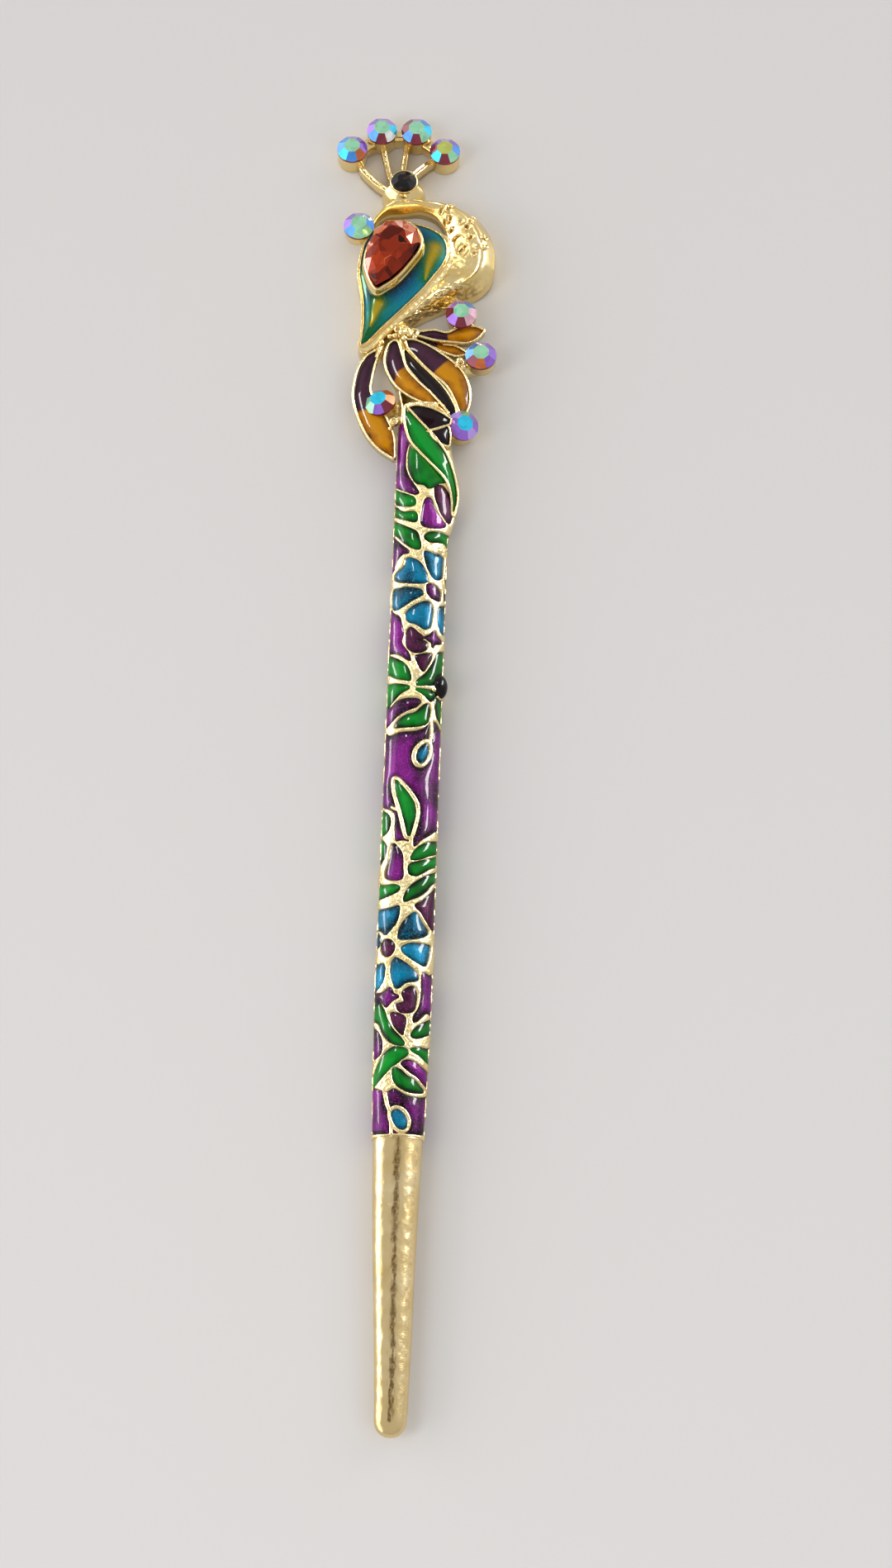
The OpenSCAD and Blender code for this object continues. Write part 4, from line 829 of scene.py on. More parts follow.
def tray(name, left, right, plane, left_z, right_z, finish, slot_name, nodes, turns_at=None, rim=0.15):
    """A petal: a gilt rim and tray, and the enamel in it. The enamel is a surface of two
    values, t from root to tip and s from side to side, that rises from the rim's foot to a
    low dome. turns_at says where plum gives way to amber, and how slantwise. Returns the
    points and faces of the gilt."""
    a, b = petal_side(left, plane, left_z), petal_side(right, plane, right_z)
    loop = flowing(np.concatenate([a, b[::-1]]), LOOP_POINTS, True)
    round_it = np.arange(LOOP_POINTS)
    noise = 1 + 0.10 * grain(round_it * 0.2, 0 * round_it, 0.5, len(name) + 40)
    rim_body = carried(loop, bead(rim, 0.08, -TRAY_DEEP) + [0.11, 0], noise)
    t = np.linspace(0, 1, PETAL_ROWS)[:, None]
    s = np.sin(np.linspace(-np.pi / 2, np.pi / 2, PETAL_ACROSS))[None]
    middle, across_it = (a + b) / 2, (b - a) / 2
    grown = 1 + 0.10 / (np.linalg.norm(across_it, axis=1)[:, None] + 0.25)
    flat = middle[:, None] + across_it[:, None] * (s * grown)[..., None]
    half = np.linalg.norm(across_it[:, :2], axis=1)[:, None]
    ends = np.minimum(1, 6 * np.minimum(t, 1 - t))
    depth = np.clip((1 - np.abs(s)) * half, 0, 9)
    over, under = flat.copy(), flat.copy()
    over[..., 2] += -0.14 + DOME * (1 - np.exp(-depth / 0.55)) * ends
    under[..., 2] -= TRAY_DEEP - 0.12
    ring = there_and_back(over, under)
    amber = np.zeros(ring.shape[:2])
    if turns_at:
        wander = t + 0.02 * grain(t * 20, 0 * t, 1, 3)
        turned_by = wander + turns_at[1] * there_and_back(s, s)
        amber = eased(turned_by, turns_at[0] - 0.015, turns_at[0] + 0.015)
    put_in(name, *lofted(ring), finish, slot_name, nodes,
           {"depth": ends_added(there_and_back(depth, depth)), "amber": ends_added(amber)})
    tray_ring = there_and_back(flat + [0, 0, -TRAY_DEEP + 0.2], flat + [0, 0, -TRAY_DEEP])
    return joined(rim_body, lofted(tray_ring))


def petal_enamel(name, root, tip):
    """Translucent petal enamel. The value "amber" blends the root's colours into the tip's,
    each darkened toward the rim by painted shade, in cloudy patches about 1.5 mm across."""
    fill, tree, shader, place = blank_finish(name, {"Roughness": 0.3, **POLISH})
    reach = cloudy_depth(tree, place, 700.0, 3.0, 0.3)
    dark = stops(add(tree, "ShaderNodeValToRGB", Fac=reach), list(zip((0, 0.25, 0.9), root))).outputs["Color"]
    pale = stops(add(tree, "ShaderNodeValToRGB", Fac=reach), list(zip((0, 0.3, 1.1), tip))).outputs["Color"]
    turn_over = add(tree, "ShaderNodeAttribute", {"attribute_name": "amber"}).outputs["Fac"]
    body = add(tree, "ShaderNodeMix", {"data_type": "RGBA"}, {}, _0=turn_over, _6=dark, _7=pale).outputs[2]
    tree.links.new(body, shader.inputs["Base Color"])
    return fill


# The first shade of root and of tip is the painted shade at the rim
amber_fill = petal_enamel("amber_and_plum_enamel", ("#160810", "#2e1022", "#462238"),
                          ("#503000", "#985a00", "#c88600"))
BLACK_PLUM = ("#070305", "#10060a", "#1e0c14")
black_plum_fill = petal_enamel("black_plum_enamel", BLACK_PLUM, BLACK_PLUM)
leaf_fill = enamel("leaf_green_enamel", ("#042c0a", "#066018", "#0c9430"), mottle=0.3)

PETAL_PLANE = 4.0
# Each petal: its left and right sides from root to tip, as the camera sees them on a level
# plane, the heights of both, its hue, and where along it and how slantwise amber begins
PETALS = [
    ("petal_1",
     [(-6.5, 142.9), (-7.8, 141.8), (-8.7, 140), (-9.1, 138), (-9.2, 136), (-8.8, 134), (-8.1, 132),
      (-7.1, 130), (-5.6, 128.2), (-3.8, 126.9)],
     [(-6.3, 142.6), (-6.8, 140.5), (-7.1, 138.5), (-7.2, 136.9), (-6.4, 134.9), (-4.9, 132.6), (-3.9, 130),
      (-3.7, 127.3)],
     (3.0, 3.6), (3.0, 3.6), "amber", (0.55, 0.0)),
    ("petal_2",
     [(-4.5, 144.2), (-5, 143.5), (-5.3, 142), (-5.2, 140.5), (-4.6, 139), (-3.6, 137.5), (-2, 136.2),
      (0, 135.2), (1.9, 134.5), (2.8, 133.6)],
     [(-4.2, 144.3), (-3.8, 144), (-3.2, 142), (-2.5, 140), (-1, 138.2), (0.6, 136.6), (2.1, 134.8),
      (2.9, 133.7)],
     (3.9, 4.5), (4.0, 4.6), "amber", (0.36, 0.06)),
    ("petal_3",
     [(-3, 142.9), (-2.8, 141.6), (-2.2, 140.2), (0, 137.4), (2, 135), (3.5, 133.1)],
     [(-2.8, 143), (-1, 141), (0.7, 139.2), (2.4, 137.2), (3.6, 135), (4, 133.3)],
     (3.6, 4.1), (3.5, 4.1), "black", None),
    ("petal_4",
     [(-2.7, 144.2), (-2.3, 143.2), (-0.5, 141), (1, 139.5), (2.6, 138), (3.7, 136), (4.5, 133.8)],
     [(-2.7, 144.5), (-1.5, 144.4), (0.2, 143.6), (2.2, 142.2), (3.6, 141), (4.6, 139.8), (5.3, 138.2),
      (5.6, 136.5), (5.5, 135), (5.1, 133.7)],
     (3.8, 3.8), (3.7, 3.4), "amber", (0.42, 0.03)),
    ("petal_5",
     [(-1.3, 145.7), (0.7, 146), (2.5, 145.7), (4.2, 146.6), (6, 146.7), (7.1, 146.3)],
     [(-1.2, 145.3), (1, 144.7), (3, 144.5), (5, 144.4), (6.2, 145), (7.1, 146.1)],
     (3.9, 3.5), (3.9, 3.5), "amber", (0.42, 0.0)),
    ("petal_6",
     [(-1.4, 144.7), (0.3, 144.5), (2, 143.9), (3.6, 143.7), (4.9, 142.9)],
     [(-1.3, 144.4), (0.4, 143.8), (2, 143), (3.6, 142.4), (4.9, 142.6)],
     (3.1, 3.1), (3.1, 3.1), "amber", (0.4, 0.0)),
    ("petal_7",
     [(-2.15, 134.3), (-1.5, 134.6), (-0.6, 134.65), (1.1, 134.2), (2.4, 133.45), (3.3, 132.8)],
     [(-2.1, 134.0), (-1.6, 132.4), (-0.3, 131.0), (1.6, 131.4), (3.2, 132.2)],
     (5.1, 5.3, 5.2, 4.8), (5.0, 4.9, 4.9, 4.7), "black", None),
    ("petal_8",
     [(0.8, 130.9), (1.4, 129.9), (2.2, 129.3), (3.0, 128.9)],
     [(0.9, 131.1), (1.8, 131.4), (2.9, 131.7), (3.25, 130.6), (3.2, 129.1)],
     (5.2, 4.5), (5.0, 4.2), "black", None)]
PETAL_FINISH = {"amber": (amber_fill, "amber_enamel", 0.15), "black": (black_plum_fill, "plum_enamel", 0.12)}
head_gold = []
for name, left, right, left_z, right_z, hue, turns_at in PETALS:
    finish, slot_name, rim = PETAL_FINISH[hue]
    head_gold.append(tray(name, left, right, PETAL_PLANE, left_z, right_z, finish, slot_name,
                          [name.replace("petal", "petal_enamel")], turns_at, rim))
LONG_LEAF = (
    [(-2.45, 134.1), (-2.5, 132.9), (-2.2, 130.9), (-1.6, 129.2), (-0.6, 127.9), (1.2, 125.9), (2.6, 124.3),
     (3.4, 122.9), (3.85, 120.8), (3.9, 118.6)],
    [(-2.35, 134.1), (-1.7, 133.3), (-0.6, 132.0), (0.8, 130.4), (1.9, 128.9), (2.8, 127.5), (3.6, 125.4),
     (4.25, 122.7), (4.4, 120.6), (4.1, 118.4)])
LEAF_PLANE = 4.6
LEFT_LEAF_Z = (5.3, 5.3, 5.2, 5.15, 5.1, 5.0, 4.6, 4.1, 3.5, 3.0)
RIGHT_LEAF_Z = (5.3, 5.25, 5.1, 4.9, 4.6, 4.3, 3.8, 3.2, 2.9, 2.9)
head_gold.append(tray("long_leaf", *LONG_LEAF, LEAF_PLANE, LEFT_LEAF_Z, RIGHT_LEAF_Z, leaf_fill,
                      "green_enamel", ["long_leaf_enamel"]))


# Bird's body
# The body is a stepped gilt ledge round a deep pool of teal enamel, streaked green and
# yellow while wet. A tall gilt wall in it holds the breast stone.

BODY_EDGE = [
    (-8.6, 143.6), (-7.7, 144.2), (-6.3, 146), (-4.5, 148.1), (-2.6, 150.3), (-1, 152.3), (0.3, 154.2),
    (1.4, 156), (1.95, 157.5), (2, 158.8), (1.6, 160), (0.6, 161), (-1, 161.8), (-3.2, 162.3),
    (-5.2, 162.3), (-7.2, 161.3), (-8.5, 159.3), (-9, 157), (-9.15, 154.5), (-8.9, 152.8), (-8.6, 151),
    (-8.4, 149), (-8.35, 146.8), (-8.45, 145)]
STONE_EDGE = [
    (-6.9, 151.5), (-6.0, 152.0), (-4.3, 153.5), (-2.6, 155.9), (-1.7, 157.4), (-1.4, 158.7), (-1.5, 159.7),
    (-2.1, 160.8), (-3.0, 161.5), (-4.4, 161.8), (-5.85, 161.5), (-7.2, 160.2), (-8.2, 157.8),
    (-8.5, 156.3), (-8.4, 154.8), (-7.7, 152.6)]
BODY_Z = 3.15
BODY_PLANE = 4.2
PEAR_Z = 5.6
# The short line that the pool's rings close on
POOL_LINE = np.array([[-6.6, 148.5], [-3.2, 158.2]])
body_loop = flowing(seen_at(BODY_EDGE, BODY_PLANE, BODY_Z), 400, True)
# The wall stands a little to the lower right of the stone, which hides its far side
pear_loop = flowing([(x + 0.12, y - 0.2, PEAR_Z) for x, y in STONE_EDGE], 240, True)
# The ledge is broad along the lower right and narrows to a thin rim on the left
body_out = outward(body_loop[:, :2])
broad = eased(body_out @ np.array([0.80, -0.60]), -0.1, 0.75)
ledge = np.array([
    [-0.12, -1.2], [-0.10, -0.1], [-0.02, 0.02], [0.08, 0.05], [0.16, 0.0], [0.22, -0.16], [0.34, -0.3],
    [0.42, -0.2], [0.5, -0.14], [0.95, -0.22], [1.05, -0.18], [1.14, -0.26], [1.2, -0.5], [1.24, -1.4],
    [1.25, -2.4], [1.1, -3.0], [0, -3.1], [-0.12, -3.1]])
edge_reach = 0.30 + 0.75 * broad
ledge_points, ledge_faces = carried(body_loop, ledge, edge_reach)
rough_edge = 0.02 * grain(ledge_points[:, 0], ledge_points[:, 1], 0.3, 31)
ledge_points[:, 2] += np.where(ledge_points[:, 2] > 1, rough_edge, 0)
bezel = np.array([
    [-0.4, -2.6], [-0.4, -0.12], [-0.1, -0.02], [0.02, 0.03], [0.12, 0.04], [0.22, -0.02], [0.28, -0.2],
    [0.30, -0.9], [0.34, -1.0], [0.40, -1.06], [0.42, -1.3], [0.45, -3.4], [0.0, -3.4]])
body_gold = [(ledge_points, ledge_faces), carried(pear_loop, bezel)]


def pool(loop, rings):
    """Rings from a loop in to its middle line: each point moves toward the nearest point of
    a short line inside the loop. Returns the rings' level points and their share inward."""
    low, high = POOL_LINE
    along_line = np.clip(((loop[:, :2] - low) @ (high - low)) / ((high - low) @ (high - low)), 0, 1)
    heart = low + along_line[:, None] * (high - low)
    share = np.linspace(0, 1, rings) ** 1.3
    return loop[None, :, :2] + (heart - loop[:, :2])[None] * share[:, None, None], share


level_points, share = pool(body_loop, 40)
px, py = level_points[..., 0], level_points[..., 1]
from_edge = -distance_to(px, py, body_loop[::3, :2])
from_pear = distance_to(px, py, pear_loop[::3, :2])
left_side = eased(-outward(body_loop[:, :2])[:, 0], 0.55, 0.95)[None]
pool_z = BODY_Z - 0.16 + 0.95 * (1 - (1 - share[:, None]) ** (2.2 + 1.6 * left_side))
pool_z = pool_z + 0.25 * np.exp(-np.clip(from_pear, 0, 9) / 0.25)
upper = np.stack([px, py, pool_z], -1)
lower = upper[::-1].copy()
lower[..., 2] = BODY_Z - 1.6
pool_rings = np.concatenate([lower, upper])
# The pool's floor is gilt, and shows as the plain back of the body
floor_top, floor_back = upper.copy(), upper[::-1].copy()
floor_top[..., 2] = BODY_Z - 1.5
floor_back[..., 2] = 0.12
body_gold.append(lofted(np.concatenate([floor_back, floor_top])))


def streak(points, head, tail):
    """How strongly a brushed streak covers each point: 1 on its line, falling off by a
    width that narrows from head to tail."""
    line = flowing(points, 24)
    away = np.sqrt((px[..., None] - line[:, 0]) ** 2 + (py[..., None] - line[:, 1]) ** 2)
    return np.exp(-(away / np.linspace(head, tail, 24)) ** 2.0).max(-1)


RIGHT_STREAK = [(0.55, 159.2), (0.33, 158.3), (-0.08, 157.0), (-0.39, 155.7), (-0.62, 154.4)]
LOWER_STREAK = [(-6.5, 150.0), (-6.83, 148.8), (-7.15, 147.6), (-7.45, 146.7)]
yellow = np.maximum(streak(RIGHT_STREAK, 0.8, 0.12), streak(LOWER_STREAK, 0.6, 0.16))
leafy = np.max([streak(RIGHT_STREAK, 1.45, 1.0), streak([(0.9, 158.6), (0.2, 156.2)], 1.0, 0.6),
                streak(LOWER_STREAK + [(-8.1, 144.8)], 1.6, 1.0),
                streak([(-8.7, 156.5), (-8.8, 153.8), (-8.5, 151.5)], 0.45, 0.4)], 0)


def both_sides(value):
    """A value of the pool's top, given to its underside too."""
    return ends_added(np.concatenate([value[::-1], value]))


# Teal enamel with green and yellow brushed in while wet: darkened by a painted shadow beside
# the stone's wall and by painted shade along the ledge, with faint mica glitter
teal_fill, tree, shader, place = blank_finish(
    "teal_streaked_enamel", {"Roughness": 0.25, "Metallic": 0.3, **POLISH})
value_of = {label: add(tree, "ShaderNodeAttribute", {"attribute_name": label}).outputs["Fac"]
            for label in ("pear_gap", "depth", "yellow", "leafy")}
# Painted shadow: the teal darkens to navy toward the stone's wall
shade_in = add(tree, "ShaderNodeMath", {"operation": "MULTIPLY"}, {1: 0.38}, _0=value_of["pear_gap"])
teal = stops(add(tree, "ShaderNodeValToRGB", Fac=shade_in.outputs[0]),
             [(0.0, "#03060f"), (0.2, "#041634"), (0.46, "#044c70"), (0.8, "#047088"),
              (1.0, "#048498")]).outputs["Color"]
green_over = add(tree, "ShaderNodeMix", {"data_type": "RGBA"}, {7: linear("#06601a")},
                 _0=value_of["leafy"], _6=teal).outputs[2]
yellow_over = add(tree, "ShaderNodeMix", {"data_type": "RGBA"}, {7: linear("#ac9000")},
                  _0=value_of["yellow"], _6=green_over).outputs[2]
# Painted shade: darker along the ledge
rim_shade = add(tree, "ShaderNodeMapRange", {}, {1: 0.0, 2: 0.35, 3: 0.25, 4: 1.0}, _0=value_of["depth"])
rimmed = add(tree, "ShaderNodeMix", {"data_type": "RGBA"}, {6: linear("#06303a")},
             _0=rim_shade.outputs[0], _7=yellow_over)
_, lit = flakes_in(tree, place, 0.10, 0.3)
body_hue = add(tree, "ShaderNodeMix", {"data_type": "RGBA"}, {7: linear("#30c8d0")},
               _0=lit, _6=rimmed.outputs[2])
tree.links.new(body_hue.outputs[2], shader.inputs["Base Color"])
put_in("body_enamel_pool", *lofted(pool_rings), teal_fill, "teal_enamel", ["body_enamel"],
       {"depth": both_sides(np.clip(from_edge, 0, 9)), "pear_gap": both_sides(np.clip(from_pear, 0, 9)),
        "yellow": both_sides(yellow), "leafy": both_sides(leafy)})


# Crescent, neck and head
# The bird's back is a swelling crescent that curves round from the throat to the neck. It is
# cast solid with the rest, polished bright, and chased with small curls near the neck.

def squared(line):
    """Level unit directions square to a line of points."""
    way = np.gradient(line[:, :2], axis=0)
    way /= np.linalg.norm(way, axis=1)[:, None]
    return np.stack([way[:, 1], -way[:, 0]], 1)


def limb(path, sides, n, squareness=1.0):
    """A body through stations of x, y, middle height, half width and half height: ovals
    square to a smooth line through them, cut level just above the table. Below 1 the
    squareness is the power of a superellipse, which flattens the ovals' sides."""
    line = flowing(path, n)
    square = squared(line)
    a = np.linspace(0, 2 * np.pi, sides, endpoint=False)[None]
    out, up = (np.sign(f) * np.abs(f) ** squareness for f in (np.cos(a), np.sin(a)))
    x, y = (line[:, k, None] + square[:, k, None] * line[:, 3, None] * out for k in (0, 1))
    z = np.maximum(0.05, line[:, 2, None] + line[:, 4, None] * up)
    return np.stack([x, y, z], -1)


def wire(path, radius, closed, sides):
    """A round wire along a line of points, its section square to the line."""
    path = np.asarray(path, float)
    way = (np.roll(path, -1, 0) - np.roll(path, 1, 0)) if closed else np.gradient(path, axis=0)
    way /= np.linalg.norm(way, axis=1)[:, None] + 1e-12
    side_way = np.cross(way, upright)
    side_way /= np.linalg.norm(side_way, axis=1)[:, None] + 1e-9
    over = np.cross(side_way, way)
    a = np.linspace(0, 2 * np.pi, sides, endpoint=False)
    r = np.broadcast_to(radius, len(path))[:, None, None]
    rings = path[:, None] + r * (side_way[:, None] * np.cos(a)[:, None] + over[:, None] * np.sin(a)[:, None])
    if closed:
        return rings.reshape(-1, 3), [grid_faces(len(path), sides, True)]
    return lofted(rings)


# Each row crosses the band from its inner edge to its outer one: the edges' x and y, then
# the heights at quarters of the way across
CRESCENT = [
    (-7.6, 163.3, -8.3, 163.9, 1.4, 1.8, 2.0, 1.9, 1.5),
    (-6.9, 164.4, -7.5, 165.1, 1.5, 2.1, 2.3, 2.2, 1.7),
    (-5.7, 165.3, -6.2, 166.3, 1.5, 2.3, 2.7, 2.7, 2.3),
    (-3.9, 165.6, -3.9, 167.3, 1.4, 2.3, 2.8, 3.0, 2.8),
    (-1.6, 165.8, -1.3, 167.2, 1.9, 2.5, 2.85, 2.8, 2.1),
    (0.4, 164.9, 1.3, 166.9, 2.1, 2.7, 3.05, 3.05, 2.1),
    (1.5, 163.3, 4.0, 165.6, 1.9, 2.9, 3.5, 3.7, 2.5),
    (2.1, 161.5, 6.2, 163.8, 2.2, 3.2, 3.9, 4.1, 2.6),
    (2.55, 159.2, 8.0, 160.4, 2.6, 3.5, 4.2, 4.4, 2.9),
    (2.55, 157.2, 8.35, 157.2, 2.8, 3.6, 4.25, 4.5, 3.1),
    (1.8, 155.3, 7.9, 154.9, 2.8, 3.5, 4.1, 4.4, 2.9),
    (0.6, 153.9, 6.4, 153.2, 2.85, 3.4, 3.8, 3.8, 2.2),
    (-0.7, 152.2, 3.9, 152.1, 2.85, 3.1, 3.1, 2.6, 1.6),
    (-2.2, 150.3, 1.6, 150.8, 2.8, 2.95, 2.6, 2.0, 1.3),
    (-3.6, 148.5, -1.0, 149.4, 2.75, 2.8, 2.3, 1.7, 1.1),
    (-5.1, 147.0, -3.6, 147.4, 2.5, 2.4, 2.0, 1.5, 0.9)]
# The chased curls: middle x and y, outer radius, turns of the spiral and where it starts
CURLS = [
    (2.15, 165.3, 0.66, 1.3, 0.4), (2.2, 163.8, 0.78, 1.5, 2.6), (2.6, 162.25, 0.42, 1.1, 1.0),
    (3.75, 163.1, 0.45, 0.6, 2.2), (4.5, 161.95, 0.66, 1.3, 3.4), (3.3, 160.3, 0.85, 0.9, 0.4),
    (3.95, 158.75, 0.85, 1.5, 4.9), (5.1, 160.4, 0.60, 1.2, 2.0), (5.25, 163.6, 0.50, 1.2, 0.2),
    (6.05, 159.1, 0.55, 0.7, 2.8), (7.0, 158.9, 0.58, 1.3, 1.2), (6.8, 160.5, 0.52, 1.2, 5.0),
    (5.0, 162.9, 0.35, 1.0, 3.0), (1.2, 165.2, 0.4, 0.8, 1.4), (5.6, 157.7, 0.4, 0.8, 0.6)]


def crossing(rows, share):
    """Points of a band at shares of the way across each row. The height is the cubic
    of the four nearest of the row's five."""
    heights = rows[:, 4:]
    u = np.clip(share, 0, 1) * 4
    i = np.minimum(u.astype(int), 3)
    t = u - i
    padded = np.column_stack([2 * heights[:, :1] - heights[:, 1:2], heights,
                              2 * heights[:, -1:] - heights[:, -2:-1]])
    z = cubic(*(padded[:, i + j] for j in range(4)), t)
    flat = rows[:, None, 0:2] * (1 - share[:, None]) + rows[:, None, 2:4] * share[:, None]
    return np.concatenate([flat, z[..., None]], -1)


CRESCENT_ROWS = 300
CURL_POINTS = 44
rows = flowing(CRESCENT, CRESCENT_ROWS)
share = np.linspace(0, 1, 56)
crescent_top = crossing(rows, share)
x, y = crescent_top[..., 0], crescent_top[..., 1]
lower_end = (1 - eased(y, 152.4, 154.4)) * eased(x, -5.2, -4)
steep = lower_end * eased(share, 0.22, 0.4)[None]
inner_slope = eased(y, 151, 154) * (1 - eased(y, 158.5, 161)) * (1 - eased(share, 0.3, 0.5))[None]
step_along = np.linalg.norm(np.diff(crescent_top[:, len(share) // 2], axis=0), axis=1)
along_skin = np.concatenate([[0], np.cumsum(step_along)])[:, None] * np.ones(len(share))
step_over = np.linalg.norm(np.diff(crescent_top, axis=1), axis=2)
over_skin = np.concatenate([np.zeros((CRESCENT_ROWS, 1)), np.cumsum(step_over, 1)], 1)
rough = ((0.10 * grain(along_skin, over_skin, 0.42, 51)
          + 0.07 * grain(along_skin, over_skin, 0.22, 52)) * steep
         + (0.035 * grain(x, y, 0.55, 53) + 0.02 * grain(x, y, 0.28, 54)) * inner_slope
         + 0.012 * grain(x, y, 1.2, 55))
pit = sum(np.exp(-((x - cx) ** 2 + (y - cy) ** 2) / (0.75 * r) ** 2) for cx, cy, r, _, _ in CURLS)
pit = np.clip(pit, 0, 1)
crescent_top[..., 2] += rough - 0.08 * pit
belly = np.array([(1.012, 0.82), (1.0, 0.45), (0.985, 0.15), (0.93, 0.05)])
outer, inner = crescent_top[:, -1:], crescent_top[:, :1]
way_out = outer[..., :2] - inner[..., :2]
way_out /= np.linalg.norm(way_out, axis=2)[..., None]
side_wall = [np.concatenate([outer[..., :2] + way_out * (reach - 1) * 4, outer[..., 2:] * rise], -1)
             for reach, rise in belly]
inner_foot = inner.copy()
inner_foot[..., 2] = 0.1
under_foot = inner_foot + np.concatenate([way_out * 0.25, 0 * way_out[..., :1]], 2)
crescent = np.concatenate([crescent_top] + side_wall + [under_foot, inner_foot], 1)
# Painted shade: brown in the pits round the curls, and brown streaks on the steep lower end, which faces down
wedge_shade = steep * eased(grain(along_skin, over_skin, 0.3, 56), -0.2, 0.3)
brown = np.concatenate([0.4 * pit + 0.6 * wedge_shade, np.zeros((CRESCENT_ROWS, len(belly) + 2))], 1)
bird_gold = [lofted(crescent)]
bird_painted_shade = [ends_added(brown)]


def rest_on_crescent(points):
    """Raises level points to the crescent's top, taking the nearest point of its grid."""
    flat = crescent_top.reshape(-1, 3)
    near = np.argmin(((flat[None, :, :2] - points[:, None]) ** 2).sum(2), 1)
    return np.column_stack([points, flat[near, 2]])


for cx, cy, r, turns, start in CURLS:
    t = np.linspace(0, 1, CURL_POINTS)
    a = start + 2 * np.pi * turns * t
    reach = 1.12 * r * (1 - 0.55 * t * min(turns, 1.3))
    curl = rest_on_crescent(np.stack([cx + reach * np.cos(a), cy + reach * np.sin(a)], 1))
    curl[:, 2] = flowing(curl[::4], CURL_POINTS)[:, 2] + 0.07
    body = wire(curl, 0.19 * (1 - 0.35 * np.abs(2 * t - 1) ** 3), False, 12)
    bird_gold.append(body)
    bird_painted_shade.append(np.zeros(len(body[0])))

# The head is a bell: a collar flaring toward the neck, and a hollow under the eye's cup.
# Each row of it has a height, then its half width and its reach toward the neck
EYE = (-3.9, 168.9, 4.1)
BELL = [
    (4.0, 1.56, 1.56), (3.75, 1.60, 1.64), (3.5, 1.64, 1.80), (3.3, 1.68, 2.00), (3.1, 1.72, 2.20),
    (2.9, 1.76, 2.36), (2.6, 1.80, 2.50), (2.2, 1.82, 2.62), (1.6, 1.86, 2.75), (0.9, 1.9, 2.8),
    (0.1, 1.9, 2.8)]
bell_rows = flowing(BELL, 70)
a = np.linspace(0, 2 * np.pi, 96, endpoint=False)[None]
to_neck = eased(-np.sin(a), -0.55, 0.35)
sideways = np.cos(a) ** 2 * to_neck * eased(-bell_rows[:, :1], -3.3, -2.5)
radius = bell_rows[:, 1:2] + (bell_rows[:, 2:3] - bell_rows[:, 1:2]) * to_neck + 0.22 * sideways
dent = np.exp(-((a - 1.5 * np.pi) / 0.22) ** 2 - ((bell_rows[:, :1] - 3.32) / 0.09) ** 2)
bell = np.stack([EYE[0] + radius * np.cos(a), EYE[1] + radius * np.sin(a),
                 bell_rows[:, :1] - 0.12 * dent], -1)
bell[..., 2] += 0.02 * grain(bell[..., 0], bell[..., 1], 0.8, 57)
bird_gold.append(lofted(bell))
# Painted shadow: brown in the dent under the eye's cup
bird_painted_shade.append(ends_added(0.9 * dent))


# Crest arms and webs
# Four ribbed arms rise from the head to the crest's cups. Each has two bright ribs with a
# grainy groove between, and low arched webs tie the cups together.

ARMS = [
    [(-10.2, 173.9, 1.7), (-9.8, 173.1, 1.8), (-9.4, 172.1, 1.9), (-8.5, 170.9, 2.1), (-7.5, 169.8, 2.3),
     (-6.5, 168.9, 2.5), (-5.6, 168.2, 2.7)],
    [(-7.0, 176.4, 1.7), (-6.8, 175.4, 1.8), (-6.5, 174.0, 1.9), (-6.2, 172.5, 2.1), (-5.8, 170.9, 2.4),
     (-5.3, 169.6, 2.8)],
    [(-3.6, 176.8, 1.7), (-3.8, 175.7, 1.8), (-3.95, 174.1, 2.0), (-4.1, 172.2, 2.4), (-4.1, 170.6, 2.9)],
    [(0.1, 174.1, 1.7), (-0.9, 173.4, 1.9), (-1.6, 172.6, 2.1), (-2.5, 171.4, 2.5), (-3.1, 170.4, 2.8)]]
# Half of an arm's section: how far to the side, and the height against the arm's line
half_arm = np.array([[-0.44, -1.9], [-0.50, -0.9], [-0.49, -0.3], [-0.42, -0.04], [-0.33, 0.07],
                     [-0.24, 0.05], [-0.14, -0.06]])
arm_profile = np.concatenate([half_arm, [[0.0, -0.09]], half_arm[::-1] * [-1, 1]])
ARM_ROWS = 90
for number, path in enumerate(ARMS):
    line = flowing(path, ARM_ROWS)
    rings = np.empty((ARM_ROWS, len(arm_profile), 3))
    rings[..., :2] = line[:, None, :2] + squared(line)[:, None] * arm_profile[None, :, :1] * 0.86
    rings[..., 2] = np.maximum(0.1, line[:, None, 2] + arm_profile[None, :, 1])
    groove = np.exp(-(arm_profile[None, :, 0] / 0.2) ** 2) * (arm_profile[None, :, 1] > -0.2)
    rings[..., 2] += 0.035 * grain(rings[..., 0], rings[..., 1], 0.3, 60 + number) * groove
    rings[..., :2] += 0.03 * grain(rings[..., 1], rings[..., 2], 0.35, 64 + number)[..., None]
    bird_gold.append(lofted(rings))
    # Painted shade: a little brown down each arm's groove
    bird_painted_shade.append(ends_added(groove * 0.15 * np.ones((ARM_ROWS, 1))))

# The middles of the crest's four stones, at the height of their cups' rims
CREST = [(-10.95, 174.7, 2.5), (-7.13, 177.7, 2.5), (-2.55, 177.75, 2.5), (1.3, 174.7, 2.5)]
for (x0, y0, _), (x1, y1, _) in zip(CREST[:-1], CREST[1:]):
    t = np.linspace(0, 1, 30)
    length = math.hypot(x1 - x0, y1 - y0)
    ahead = 0.42 - 0.35 * np.sin(np.pi * t)
    web = np.stack([x0 + (x1 - x0) * t + (y1 - y0) / length * ahead,
                    y0 + (y1 - y0) * t - (x1 - x0) / length * ahead,
                    0 * t + 1.05, 0 * t + 0.85, 0 * t + 1.1], 1)
    rings = limb(web, 36, 50, squareness=0.55)
    rings[..., 2] += 0.03 * grain(rings[..., 0], rings[..., 1], 0.5, 68)
    bird_gold.append(lofted(rings))
    bird_painted_shade.append(ends_added(0 * rings[..., 0]))


# Cups
# Each stone sits in a plain cup cast with the head: a short drum, a little wider at its
# lip, with the marks of the mould left in its wall.

